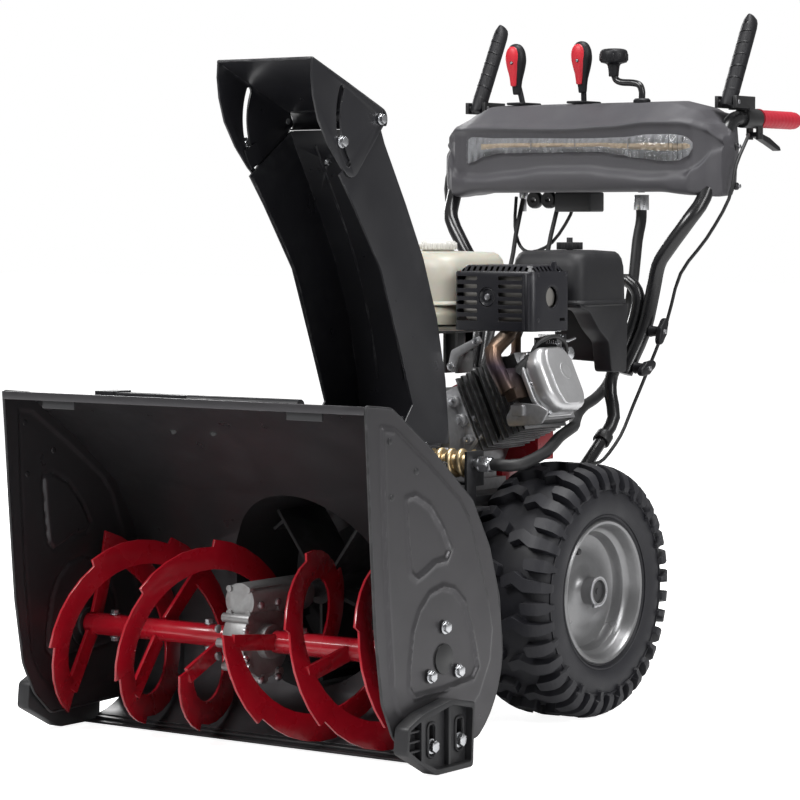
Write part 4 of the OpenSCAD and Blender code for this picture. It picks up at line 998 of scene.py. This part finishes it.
def make_crank():
    y = CRANK_Y
    stem = box_mm("chute_crank")[1].x - 6
    piece = Piece("lever_plastic", "tube_gloss_black")
    piece.add(tube([(stem, y, 838), (stem, y, 920), (stem, y, 995), (stem, y, 1011), (stem - 5, y, 1022),
                    (stem - 18, y, 1026), (stem - 42, y, 1028), (stem - 53, y, 1034), (stem - 57, y, 1048)],
                   5.9, 14, 5), finish=1)
    knob = [(0, 0), (8, 0), (9, 6), (10.5, 18), (14, 22), (22, 24), (24.2, 29), (24.4, 37), (23, 44),
            (18, 47), (9, 48), (0, 48)]
    profile = curve([(r, h, 0) for r, h in knob], 2)
    piece.add(lathe([(max(p.x, 0), p.y) for p in profile], 40), at(stem - 57, y, 1038))
    for k in range(12):
        a = k * math.pi / 6
        piece.add(block((2.4, 2.4, 12), 1, 1), at(stem - 57 + 24 * math.cos(a), y + 24 * math.sin(a), 1071))
    piece.done("chute_crank_moulded", "chute_crank", "chute_crank")


def wing_outline():
    """A wing knob's face: a round hub with two arms."""
    arm = [(8, -9), (20, -7), (26, 0), (20, 7), (8, 9)]
    return soft([*arm, (0, 12), *[(-u, -v) for u, v in arm], (0, -12)], 4, 3)


def make_wing_knobs():
    for level, turn in (("upper", 62), ("lower", 20)):
        for name, sign in SIDES.items():
            node = f"knob_{level}_{name}"
            lo, hi = box_mm(f"knob_{level}_right")
            y, z = (lo.y + hi.y) / 2, (lo.z + hi.z) / 2
            piece = Piece("lever_plastic", "screw_steel")
            neck = [(4, 0), (10, 0), (9, 4), (8, 14), (11, 18), (4, 18)]
            piece.add(lathe([(r, lo.x + h) for r, h in neck], 28), at(0, y, z, "x"))
            piece.add(slab(wing_outline(), 11, 3, 3), at(lo.x + 16, y, z, "x", turn))
            piece.add(hexagon_bolt(9, 6), at(lo.x + 24, y, z, "x"), 1)
            piece.to_side(sign)
            piece.done(node + "_moulded", node, node)


# ---- chute ------------------------------------------------------------------


def make_worm():
    """A wound coil on its core, with a hexagon coupling and a collar."""
    lo, hi = box_mm("chute_worm")
    y, z = (lo.y + hi.y) / 2, (lo.z + hi.z) / 2
    piece = Piece("yellow_zinc", "zinc")
    piece.add(lathe([(0, 8), (14, 8), (14, 158), (12, 160), (0, 160)], 32), at(0, y, z, "x"))
    turns, pitch, wire, ring = 7.2, 19.5, 5.6, 17.6
    steps = int(turns * 24)
    coil = []
    for i in range(steps + 1):
        a = 2 * math.pi * turns * i / steps
        coil.append((12 + wire + pitch * turns * i / steps, y + ring * math.cos(a), z + ring * math.sin(a)))
    piece.add(tube(coil, wire, 10, 1))
    piece.add(lathe([(0, 160), (7.9, 160), (7.9, 172), (0, 172)], 28), at(0, y, z, "x"), 1)
    piece.add(slab(arc(0, 0, 13, 0, 300, 5), 20, 1.4), at(174, y, z, "x"), 1)
    piece.add(lathe([(0, 171), (10.5, 171), (12, 173), (12, 176), (0, 176)], 32), at(0, y, z, "x"), 1)
    end = [(0, 192), (11.4, 192), (11.4, 196), (10, hi.x - 0.2), (0, hi.x - 0.2)]
    piece.add(lathe(end, 32), at(0, y, z, "x"), 1)
    piece.done("chute_worm_wound", "chute_worm", "chute_worm", sharp=45)


def make_chute_trim():
    """Stiffening ribs and bolts inside the duct, and the hood's hinge straps."""
    middle = centre_mm("chute_duct").x
    back = [(-234, 545), (-257, 640), (-293, 732), (-338, 813), (-393, 904)]
    piece = Piece("chute_black", "zinc")
    for x in (middle - 42, middle + 6):
        line = [(x, y - 2.2, z - 0.4) for y, z in back]
        piece.add(tube(line, 2.6, 8, 4))
    for x in (middle - 30, middle + 30):
        piece.add(lathe([(0, -4), (7, -4), (6.4, 1), (3, 3.4), (0, 3.8)], 24),
                  Matrix.Translation((x, -385.5, 880)) @ Matrix.Rotation(math.radians(58), 4, "X"), 1)
    for x in (-12.5, 152.5):
        edge = [(x, -321, 512), (x, -357, 606), (x, -401, 716), (x, -470, 812), (x, -503, 855)]
        piece.add(tube([(p[0], p[1] + 2.5, p[2]) for p in edge], 2.0, 8, 3))
    lip = arc(*HOOD_HINGE, 13.7, -84, -12, 8) + arc(*HOOD_HINGE, 11.8, -12, -84, 8)
    piece.add(slab(lip, 165), at(-12.5, 0, 0, "x"))
    ear = arc(*HOOD_HINGE, 118, 203, 219, 6) + arc(*HOOD_HINGE, 88, 222, 203, 6)
    for x in (-14.9, 152.6):
        piece.add(slab(ear, 2.3), at(x, 0, 0, "x"))
    piece.done("chute_ribs", "chute")
    hood = Piece("chute_black", "lever_plastic")
    low, high = box_mm("deflector")
    for x in (low.x + 1.5, high.x - 1.5):
        rim = [(x, -404, 956), (x, -490, 991), (x, -573, 1024)]
        hood.add(tube(rim, 1.9, 8, 2))
    hood.add(tube([(x, -574, 1023.6) for x in (low.x + 2, middle, high.x - 2)], 2.2, 8, 2))
    hood.done("hood_rim", "deflector")


# ---- engine -----------------------------------------------------------------


def bore_place():
    """The cylinder's own axes: +X along the bore."""
    return Matrix.Translation((0, 0, BORE_HEIGHT)) @ Matrix.Rotation(math.radians(BORE_TILT), 4, "Y")


def make_valve_cover():
    place = bore_place()
    piece = Piece("cover_aluminium", "zinc")
    outline = [(-60, -26), (-40, -56), (34, -56), (48, -36), (48, 34), (30, 56), (-40, 56), (-60, 30)]
    shift = Matrix.Translation((212, -9, 0)) @ FACING["x"]
    piece.add(slab(soft(outline, 9), 8, 1.6), place @ shift)
    inner = [(u * 0.95 - 1, v * 0.95) for u, v in outline]
    piece.add(slab(soft(inner, 12, 5), 33, 11, 5), place @ shift @ Matrix.Translation((0, 0, 6)))
    low = [(u * 0.55 - 4, v * 0.86) for u, v in outline]
    piece.add(slab(soft(low, 10, 5), 5, 3.4, 4), place @ shift @ Matrix.Translation((0, 0, 36)))
    piece.add(lathe([(0, 0), (14, 0), (14, 1.2), (11.6, 1.8), (10.6, 1.2), (8, 1.4), (0, 2.2)], 36),
              place @ shift @ Matrix.Translation((6, 8, 40)))
    for u, v in ((-52, 0), (42, 42), (42, -44), (-36, -48), (-36, 48)):
        piece.add(hexagon_bolt(11, 7), place @ shift @ Matrix.Translation((u * 1.02, v * 1.02, 7)), 1)
    piece.done("valve_cover_cast", "chassis", "valve_cover", sharp=50)


def level(x, y, wide, deep, reach, steps, z):
    """One ring of a moulded box: a rounded rectangle at a height."""
    return [(x + p[0], y + p[1], z) for p in rectangle(wide, deep, reach, steps)]


def make_tank():
    lo, hi = box_mm("fuel_tank")
    x, y = (lo.x + hi.x) / 2, (lo.y + hi.y) / 2
    wide, deep = hi.x - lo.x - 6, hi.y - lo.y - 6
    piece = Piece("tank_cream", "bracket_black")
    lower = [(0.86, 611), (0.93, 614), (0.975, 622), (0.99, 634), (1.0, 653)]
    seam = [(1.026, 653.5), (1.026, 659.5)]
    upper = [(1.0, 660), (0.995, 690), (0.985, 712), (0.96, 725), (0.92, 733), (0.86, 737.5), (0.5, 739.5)]
    wall = lower + seam + upper
    piece.add(loft([level(x, y, wide * share, deep * share, 42, 6, z) for share, z in wall]))
    cap = centre_mm("fuel_cap")
    piece.add(lathe([(0, 738), (27, 738), (27, 741), (25, 742), (0, 742)], 48), at(cap.x, cap.y, 0))
    piece.add(block((150, 26, 3), 1), at(x, y - deep / 2 + 30, 609), 1)
    piece.done("fuel_tank_blown", "chassis", "fuel_tank", sharp=50)
    cover = Piece("cap_white")
    lid = [(0, 742.2), (29, 742.2), (30, 744), (30, 753), (28, 756), (22, 757.2), (12, 755.6), (0, 755.6)]
    cover.add(lathe(lid, 48), at(cap.x, cap.y, 0))
    for x, y in arc(cap.x, cap.y, 30.2, 0, 345, 23):
        cover.add(block((2.6, 3.4, 10), 1, 1), at(x, y, 748.6))
    cover.add(pin(15, 16, 1), at(cap.x, cap.y, 727))
    cover.done("fuel_cap_moulded", "fuel_cap", "fuel_cap")


def make_air_filter():
    lo, hi = box_mm("air_filter_box")
    x, y = (lo.x + hi.x) / 2, (lo.y + hi.y) / 2
    wide, deep = hi.x - lo.x - 4, hi.y - lo.y - 4
    piece = Piece("engine_plastic", "black_steel")
    wall = [(0.985, 650), (1.0, 653), (1.022, 654), (1.022, 660), (1.0, 661), (0.992, 690), (0.98, 714),
            (0.95, 727), (0.9, 735), (0.84, 739), (0.5, 741.5)]
    piece.add(loft([level(x, y, wide * share, deep * share, 26, 5, z) for share, z in wall]))
    skirt = [(lo.y + 6, 654), (lo.y + 8, 648), (112, 642), (140, 612), (172, 590), (180, 541), (226, 540),
             (hi.y - 5, 600), (hi.y - 4, 654)]
    piece.add(slab(soft(skirt, 7, 3), 34, 3), at(hi.x - 38, 0, 0, "x"))
    piece.add(slab(soft([(-60, 0), (34, 0), (34, -100), (-50, -96)], 8), 30, 4), at(x, hi.y - 8, 656, "y"))
    piece.done("air_filter_box_moulded", "chassis", "air_filter_box", sharp=50)


def front_of(node):
    """A way to ask how far back the node's front surface lies at x and z."""
    bm = bmesh.new()
    bm.from_mesh(frame["nodes"][node].data)
    tree = BVHTree.FromBMesh(bm)
    bm.free()

    def ask(x, z):
        place = tree.ray_cast(Vector((x, -2000, z)) * MM, Vector((0, 1, 0)))[0]
        return None if place is None else place.y / MM

    return ask


def make_engine_block():
    """The block with its cooling fins painted dark."""
    piece = softened("engine_block", 1.0)
    piece.data.materials.append(bpy.data.materials["fin_black"])
    inverse = bore_place().inverted()
    for face in piece.data.polygons:
        spot = inverse @ (face.center / MM)
        if 86 < spot.x < 204 and math.hypot(spot.y + 12, spot.z) > 34:
            face.material_index = 1


def make_engine_trim():
    """Small castings, bolts, pipes, springs and leads on the engine."""
    surface_y = front_of("engine_block")
    alloy = Piece("engine_aluminium", "zinc", "engine_plastic", "cap_white")
    plate = [(163, 478), (178, 503), (225, 501), (244, 492), (230, 470), (168, 464)]
    alloy.add(slab(soft(plate, 5), 5, 1.6), at(0, -75, 0, "y"))
    alloy.add(slab(soft([(176, 500), (200, 500), (200, 482), (176, 482)], 4), 9, 2), at(0, -77, 0, "y"))
    strap = [(56, 552), (64, 583), (118, 607), (123, 597), (77, 572), (69, 547)]
    alloy.add(slab(soft(strap, 3), 5, 1.2), at(0, -84, 0, "y"))
    for x, z in ((64, 558), (112, 599)):
        alloy.add(hexagon_bolt(11, 6), at(x, -88, z, "y"), 1)
    for x, z, r in ((72, 470, 12), (88, 440, 9), (104, 418, 9), (70, 420, 10), (124, 404, 8), (96, 474, 8),
                    (56, 452, 9), (60, 500, 10), (84, 404, 8), (112, 446, 7), (44, 478, 9), (52, 410, 9)):
        y = surface_y(x, z)
        if y is None:
            continue
        alloy.add(lathe([(0, -3), (r, -3), (r * 0.88, 8), (r * 0.8, 9), (0, 9)], 24), at(x, y, z, "y"))
        alloy.add(hexagon_bolt(r * 1.1, 5), at(x, y - 9, z, "y"), 1)
    for k in range(7):
        x, z = 52 + 12 * k, 396 + 9 * k
        y = surface_y(x, z)
        if y is not None:
            alloy.add(slab(rectangle(4, 52, 1, 1), 6, 1.4), at(x, y + 2, z, "y", -40))
    carb = centre_mm("throttle_lever")
    for k, (dy, dz) in enumerate(((-14, 26), (-8, 16), (-18, 6))):
        spring = []
        for i in range(97):
            a = 2 * math.pi * 12 * i / 96
            spring.append((carb.x - 44 + 46 * i / 96, carb.y + dy + 2.4 * math.cos(a),
                           carb.z + dz + 2.4 * math.sin(a)))
        alloy.add(tube(spring, 0.6, 6, 1), finish=1)
    alloy.add(lathe([(0, 0), (9, 0), (9, 14), (11, 16), (11, 30), (7, 33), (0, 33)], 28),
              at(160, carb.y - 2, carb.z - 12, "x"), 1)
    alloy.add(block((30, 22, 34), 4), at(176, 62, 566))
    alloy.add(tube([(150, 40, 600), (172, 44, 604), (186, 60, 596), (188, 84, 600)], 2.2, 10), finish=1)
    alloy.add(block((12, 14, 26), 3), at(196, 44, 540), 3)
    alloy.done("engine_trim", "chassis")
    lead = Piece("sleeve_rubber", "bracket_black")
    lead.add(tube([(188, -48, 572), (196, -40, 594), (206, -10, 606), (201, 26, 600), (194, 49, 586),
                   (188, 57, 570)], 3.4, 10))
    lead.add(tube([(176, -66, 548), (182, -60, 560), (189, -48, 574)], 9, 16, 4, lambda t: 1.1 - 0.4 * t))
    lead.done("ignition_lead", "chassis")


def make_guard():
    """The muffler guard: a chamfered shell with slots, ribs, screws and an outlet ring."""
    lo, hi = box_mm("muffler_guard")
    x, y = (lo.x + hi.x) / 2, (lo.y + hi.y) / 2
    wide, deep = hi.x - lo.x - 1, hi.y - lo.y - 1
    top = hi.z - 0.4

    def walls(*steps):
        return loft([level(x, y, wide - 2 * inset, deep - 2 * inset, 14, 4, z) for inset, z in steps])

    piece = Piece("guard_black", "screw_steel", "exhaust_steel")
    piece.add(walls((0.8, lo.z), (0, lo.z + 1), (0, top - 15), (1.2, top - 12.6), (11, top - 1.6),
                    (13.5, top)))
    guard = piece.done("muffler_guard_pressed", "chassis", "muffler_guard", sharp=40)
    cut(guard, walls((2.6, lo.z - 6), (2.6, top - 16), (12.5, top - 3.4), (14, top - 2.6)))
    slots = []
    for z in range(633, 700, 13):
        for middle, length in ((74, 40), (157, 46)):
            outline = soft(rectangle(length, 6.4), 2.4, 3)
            slots.append((slab(outline, 12), at(middle, lo.y + 7, z, "y")))
    for k in range(12):
        slots.append((block((5, 8.6, 18), 0.8, 1), at(62 + 11 * k, lo.y + 7.6, top - 6)))
    for k in range(8):
        slots.append((block((8.6, 5, 18), 0.8, 1), at(hi.x - 7.6, lo.y + 17 + 11 * k, top - 6)))
    slots.append((pin(17, 14, 0.1, 40), at(hi.x - 8, -4, 668, "x")))
    slots.append((pin(16, 12, 0.1, 36), at(113, lo.y + 8, 668, "y")))
    slots.append((slab(rectangle(22, 5, 2), 12), at(hi.x - 8, 30, 632, "x")))
    cut(guard, joined(slots))
    trim = Piece("guard_black", "screw_steel", "exhaust_steel")
    for rib_x in (hi.x - 17.5, hi.x - 9):
        rib = ((1.4, lo.z + 3), (1.0, lo.z + 40), (1.0, top - 30), (1.4, top - 16))
        trim.add(tube([(rib_x, lo.y + out, z) for out, z in rib], 2.4, 10))
    cup = [(0, 0), (15.6, 0), (15.6, 5), (14, 6.6), (11, 3), (0, 2.4)]
    trim.add(lathe(cup, 40), at(113, lo.y + 7, 668, "y"))
    trim.add(lathe([(0, 0), (5.5, 0), (5, 3), (0, 4.4)], 20), at(113, lo.y + 4, 668, "y"), 1)
    for z in (632, 704):
        for y in (lo.y + 17, hi.y - 15):
            trim.add(pin(3.4, 1.2, 0.4), at(hi.x - 1.2, y, z, "x"), 0)
    ring = [(17.4, 0), (24, 0), (23.4, 1.4), (20, 2.2), (17.4, 1.2)]
    trim.add(lathe(ring, 48), at(hi.x - 2.2, -4, 668, "x"))
    trim.add(lathe([(0, 0), (16.6, 0), (15, 1.4), (0, 1.0)], 40), at(hi.x - 7, -4, 668, "x"), 2)
    trim.done("muffler_guard_trim", "chassis")


def make_gearbox_trim():
    """Domed bolts round the auger gearbox's split line."""
    piece = Piece("cast_grey", "screw_steel")
    for a in (20, 70, 110, 160, 200, 250, 290, 340):
        u, v = arc(*AUGER_AXIS, 60, a, a, 1)[0]
        for sign in (-1, 1):
            dome = lathe([(0, 0), (6.5, 0), (6.2, 3), (3.6, 5.6), (0, 6.2)], 20)
            turn = FACING["x"] if sign > 0 else Matrix.Rotation(math.pi, 4, "Z") @ FACING["x"]
            piece.add(dome, Matrix.Translation((sign * 25.6, u, v)) @ turn, 1)
    piece.done("gearbox_bolts", "chassis")


# ---- stage ------------------------------------------------------------------


def area_light(name, place, aim, size, power):
    """A rectangular light that shines from a place at a point."""
    light = bpy.data.lights.new(name, "AREA")
    light.shape, light.size, light.size_y, light.energy = "RECTANGLE", size[0], size[1], power
    lamp = bpy.data.objects.new(name, light)
    lamp.location = place
    lamp.rotation_mode = "QUATERNION"
    lamp.rotation_quaternion = (Vector(aim) - Vector(place)).to_track_quat("-Z", "Y")
    bpy.context.scene.collection.objects.link(lamp)


def make_stage(settings):
    """The camera, a pale floor, white surroundings and four lights."""
    camera = bpy.data.cameras.new("camera")
    camera.lens, camera.sensor_width = settings.lens, 36.0
    viewer = bpy.data.objects.new("camera", camera)
    viewer.location = settings.camera_place
    viewer.rotation_euler = (math.pi / 2 - settings.camera_tilt, 0, settings.camera_turn)
    bpy.context.scene.collection.objects.link(viewer)
    bpy.context.scene.camera = viewer
    bm = bmesh.new()
    bmesh.ops.create_grid(bm, x_segments=2, y_segments=2, size=30.0)
    mesh = bpy.data.meshes.new("floor")
    bm.to_mesh(mesh)
    bm.free()
    floor = bpy.data.objects.new("floor", mesh)
    floor.location.z = -0.0005
    bpy.context.scene.collection.objects.link(floor)
    pale = bpy.data.materials.new("floor_pale")
    pale.use_nodes = True
    shader = pale.node_tree.nodes["Principled BSDF"].inputs
    shader["Base Color"].default_value = (0.8, 0.8, 0.8, 1)
    shader["Roughness"].default_value = 0.9
    shader["Emission Color"].default_value = (1, 1, 1, 1)
    eye = put(pale.node_tree, "LightPath").outputs["Is Camera Ray"]
    pale.node_tree.links.new(ranged(pale.node_tree, eye, 0.0, 1.0, 0.05, 0.92), shader["Emission Strength"])
    mesh.materials.append(pale)
    world = bpy.data.worlds.new("soft_sky")
    bpy.context.scene.world = world
    world.use_nodes = True
    tree = world.node_tree
    seen = put(tree, "LightPath").outputs["Is Camera Ray"]
    strength = ranged(tree, seen, 0.0, 1.0, settings.sky, 1.0)
    tree.links.new(strength, tree.nodes["Background"].inputs[1])
    tree.nodes["Background"].inputs[0].default_value = (1, 1, 1, 1)
    area_light("key", (-1.2, -3.4, 3.8), (0, -0.2, 0.5), (2.4, 1.2), settings.key)
    area_light("fill", (4.0, -0.6, 2.6), (0, 0, 0.5), (1.0, 2.4), settings.key * 0.4)
    area_light("top", (0.6, 0.2, 4.4), (0, 0, 0.5), (2.6, 1.6), settings.key * 0.9)
    area_light("back", (-3.6, 2.8, 2.0), (0, 0, 0.6), (1.6, 2.4), settings.key * 0.4)
    bpy.context.scene.view_settings.view_transform = "Standard"


# Width in millimetres of the rounded edges of each frame piece that keeps its plain shape.
SOFT_EDGES = {
    "auger_housing": 0.9, "scraper_bar": 0.8, "zinc_fittings": 0.7, "brackets": 0.9,
    "auger_right": 0.7, "auger_left": 0.7, "auger_gearbox": 2.0,
    "impeller": 0.8, "chassis": 1.0, "chute_ring": 1.0, "chute_duct": 0.8, "chute_bolts": 0.8,
    "deflector": 0.8, "worm_bracket": 1.2, "chute_drive_shaft": 0.0, "blower_shroud": 1.6,
    "engine_covers": 1.8, "recoil_handle": 2.0, "exhaust": 2.0, "air_filter_knob": 1.2,
    "throttle_lever": 0.8, "choke_lever": 0.8, "handle_right": 0.6, "handle_left": 0.6, "lower_handle": 0.0,
    "lever_brackets": 1.4, "trigger_right": 1.6, "trigger_left": 1.6, "control_cables": 0.0,
    "clean_out_tool": 2.4,
}


def make_soft_edges():
    """Rounded copies of the plain frame pieces."""
    for node, width in SOFT_EDGES.items():
        softened(node, width)


# ---- the add-on -------------------------------------------------------------


class StageSettings(bpy.types.PropertyGroup):
    """The camera and the light"""

    lens: FloatProperty(name="Lens", description="Focal length of the camera", default=136.76, min=20.0,
                        unit="CAMERA")
    camera_place: FloatVectorProperty(name="Camera place", description="Where the camera stands",
                                      subtype="XYZ", unit="LENGTH", default=(2.8362, -4.0668, 0.7868))
    camera_tilt: FloatProperty(name="Tilt", description="How far the camera looks down", subtype="ANGLE",
                               default=math.radians(3.345))
    camera_turn: FloatProperty(name="Turn", description="How far the camera is turned", subtype="ANGLE",
                               default=math.radians(35.834))
    sky: FloatProperty(name="Sky", description="Strength of the white surroundings", default=0.24, min=0.0)
    key: FloatProperty(name="Key", description="Power of the main light", default=165.0, min=0.0,
                       unit="POWER")


class FinishSettings(bpy.types.PropertyGroup):
    """The colours"""

    paint: FloatVectorProperty(name="Housing paint", description="Colour of the housing", subtype="COLOR",
                               default=(0.062, 0.060, 0.064), min=0.0, max=1.0)
    red: FloatVectorProperty(name="Auger red", description="Colour of the augers and the shroud",
                             subtype="COLOR", default=(0.38, 0.004, 0.014), min=0.0, max=1.0)
    console: FloatVectorProperty(name="Console grey", description="Colour of the console", subtype="COLOR",
                                 default=(0.062, 0.060, 0.067), min=0.0, max=1.0)


class ShapeSettings(bpy.types.PropertyGroup):
    """The sizes"""

    lugs: IntProperty(name="Lugs", description="Tread blocks on each shoulder of a tyre", default=36,
                      min=16, max=48)
    sheet_pitch: FloatProperty(name="Sheet pitch", description="Spacing of the pressed sheets' mesh",
                               subtype="DISTANCE", unit="LENGTH", default=2.6 * MM, min=2.0 * MM,
                               max=12.0 * MM)


class SNOW_OT_stage(bpy.types.Operator):
    """Builds the camera, floor, surroundings and lights"""

    bl_idname = "snow.stage"
    bl_label = "Stage"

    def execute(self, context):
        make_stage(context.scene.snow_stage)
        return {"FINISHED"}


class SNOW_OT_finishes(bpy.types.Operator):
    """Builds every material"""

    bl_idname = "snow.finishes"
    bl_label = "Finishes"

    def execute(self, context):
        colours = context.scene.snow_finish
        make_finishes(colours.paint, colours.red, colours.console)
        return {"FINISHED"}


class SNOW_OT_soft_edges(bpy.types.Operator):
    """Rounds the edges of the plain frame pieces"""

    bl_idname = "snow.soft_edges"
    bl_label = "Soft edges"

    def execute(self, context):
        make_soft_edges()
        return {"FINISHED"}


class SNOW_OT_tyres(bpy.types.Operator):
    """Builds both tyres with their lugs"""

    bl_idname = "snow.tyres"
    bl_label = "Tyres"

    def execute(self, context):
        make_tyres(context.scene.snow_shape.lugs)
        return {"FINISHED"}


class SNOW_OT_rims(bpy.types.Operator):
    """Builds both pressed wheels"""

    bl_idname = "snow.rims"
    bl_label = "Rims"

    def execute(self, context):
        make_rims()
        return {"FINISHED"}


class SNOW_OT_side_plates(bpy.types.Operator):
    """Builds both pressed side plates"""

    bl_idname = "snow.side_plates"
    bl_label = "Side plates"

    def execute(self, context):
        make_side_plates(context.scene.snow_shape.sheet_pitch / MM)
        return {"FINISHED"}


class SNOW_OT_shoes(bpy.types.Operator):
    """Builds both moulded skid shoes"""

    bl_idname = "snow.shoes"
    bl_label = "Skid shoes"

    def execute(self, context):
        make_shoes()
        return {"FINISHED"}


class SNOW_OT_housing_trim(bpy.types.Operator):
    """Builds the housing's lip, bolt heads and pads"""

    bl_idname = "snow.housing_trim"
    bl_label = "Housing trim"

    def execute(self, context):
        make_housing_trim()
        return {"FINISHED"}


class SNOW_OT_console(bpy.types.Operator):
    """Builds the console's shell and fittings"""

    bl_idname = "snow.console"
    bl_label = "Console"

    def execute(self, context):
        make_console()
        return {"FINISHED"}


class SNOW_OT_lens(bpy.types.Operator):
    """Builds the lamp and its lens"""

    bl_idname = "snow.lens"
    bl_label = "Lens"

    def execute(self, context):
        make_lens()
        return {"FINISHED"}


class SNOW_OT_clutch_levers(bpy.types.Operator):
    """Builds both clutch levers"""

    bl_idname = "snow.clutch_levers"
    bl_label = "Clutch levers"

    def execute(self, context):
        make_clutch_levers()
        return {"FINISHED"}


class SNOW_OT_grips(bpy.types.Operator):
    """Builds both grips"""

    bl_idname = "snow.grips"
    bl_label = "Grips"

    def execute(self, context):
        make_grips()
        return {"FINISHED"}


class SNOW_OT_hand_levers(bpy.types.Operator):
    """Builds the speed and deflector levers"""

    bl_idname = "snow.hand_levers"
    bl_label = "Hand levers"

    def execute(self, context):
        make_hand_levers()
        return {"FINISHED"}


class SNOW_OT_crank(bpy.types.Operator):
    """Builds the chute crank"""

    bl_idname = "snow.crank"
    bl_label = "Crank"

    def execute(self, context):
        make_crank()
        return {"FINISHED"}


class SNOW_OT_wing_knobs(bpy.types.Operator):
    """Builds the four handle knobs"""

    bl_idname = "snow.wing_knobs"
    bl_label = "Wing knobs"

    def execute(self, context):
        make_wing_knobs()
        return {"FINISHED"}


class SNOW_OT_worm(bpy.types.Operator):
    """Builds the chute's wound worm"""

    bl_idname = "snow.worm"
    bl_label = "Worm"

    def execute(self, context):
        make_worm()
        return {"FINISHED"}


class SNOW_OT_chute_trim(bpy.types.Operator):
    """Builds the chute's ribs, bolts and rims"""

    bl_idname = "snow.chute_trim"
    bl_label = "Chute trim"

    def execute(self, context):
        make_chute_trim()
        return {"FINISHED"}


class SNOW_OT_valve_cover(bpy.types.Operator):
    """Builds the cast valve cover"""

    bl_idname = "snow.valve_cover"
    bl_label = "Valve cover"

    def execute(self, context):
        make_valve_cover()
        return {"FINISHED"}


class SNOW_OT_tank(bpy.types.Operator):
    """Builds the fuel tank and its cap"""

    bl_idname = "snow.tank"
    bl_label = "Tank"

    def execute(self, context):
        make_tank()
        return {"FINISHED"}


class SNOW_OT_air_filter(bpy.types.Operator):
    """Builds the air filter box"""

    bl_idname = "snow.air_filter"
    bl_label = "Air filter"

    def execute(self, context):
        make_air_filter()
        return {"FINISHED"}


class SNOW_OT_engine_block(bpy.types.Operator):
    """Builds the engine block and its dark fins"""

    bl_idname = "snow.engine_block"
    bl_label = "Engine block"

    def execute(self, context):
        make_engine_block()
        return {"FINISHED"}


class SNOW_OT_engine_trim(bpy.types.Operator):
    """Builds the small pieces on the engine"""

    bl_idname = "snow.engine_trim"
    bl_label = "Engine trim"

    def execute(self, context):
        make_engine_trim()
        return {"FINISHED"}


class SNOW_OT_guard(bpy.types.Operator):
    """Builds the slotted muffler guard"""

    bl_idname = "snow.guard"
    bl_label = "Muffler guard"

    def execute(self, context):
        make_guard()
        return {"FINISHED"}


class SNOW_OT_gearbox_trim(bpy.types.Operator):
    """Builds the auger gearbox's bolts"""

    bl_idname = "snow.gearbox_trim"
    bl_label = "Gearbox trim"

    def execute(self, context):
        make_gearbox_trim()
        return {"FINISHED"}


OPERATORS = (
    SNOW_OT_stage, SNOW_OT_finishes, SNOW_OT_soft_edges, SNOW_OT_tyres, SNOW_OT_rims,
    SNOW_OT_side_plates, SNOW_OT_shoes, SNOW_OT_housing_trim, SNOW_OT_console, SNOW_OT_lens,
    SNOW_OT_clutch_levers, SNOW_OT_grips, SNOW_OT_hand_levers, SNOW_OT_crank, SNOW_OT_wing_knobs,
    SNOW_OT_worm, SNOW_OT_chute_trim, SNOW_OT_valve_cover, SNOW_OT_tank, SNOW_OT_air_filter,
    SNOW_OT_engine_block, SNOW_OT_engine_trim, SNOW_OT_guard, SNOW_OT_gearbox_trim,
)


class SNOW_PT_panel(bpy.types.Panel):
    """Lists the snowblower's operators and sizes"""

    bl_label = "Snowblower"
    bl_idname = "SNOW_PT_panel"
    bl_space_type = "VIEW_3D"
    bl_region_type = "UI"
    bl_category = "Snowblower"

    def draw(self, context):
        for cls in OPERATORS:
            self.layout.operator(cls.bl_idname)
        for group in (context.scene.snow_stage, context.scene.snow_finish, context.scene.snow_shape):
            for name in group.__annotations__:
                self.layout.prop(group, name)


SETTINGS = {"snow_stage": StageSettings, "snow_finish": FinishSettings, "snow_shape": ShapeSettings}
CLASSES = (*SETTINGS.values(), *OPERATORS, SNOW_PT_panel)


def register():
    """Adds the settings, operators and panel."""
    for cls in CLASSES:
        bpy.utils.register_class(cls)
    for name, group in SETTINGS.items():
        setattr(bpy.types.Scene, name, PointerProperty(type=group))


def unregister():
    """Takes them away again."""
    for name in SETTINGS:
        delattr(bpy.types.Scene, name)
    for cls in reversed(CLASSES):
        bpy.utils.unregister_class(cls)


def main():
    """Builds every piece in order."""
    register()
    for cls in OPERATORS:
        getattr(bpy.ops.snow, cls.bl_idname.split(".")[1])()
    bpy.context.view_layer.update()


if __name__ == "__main__":
    main()
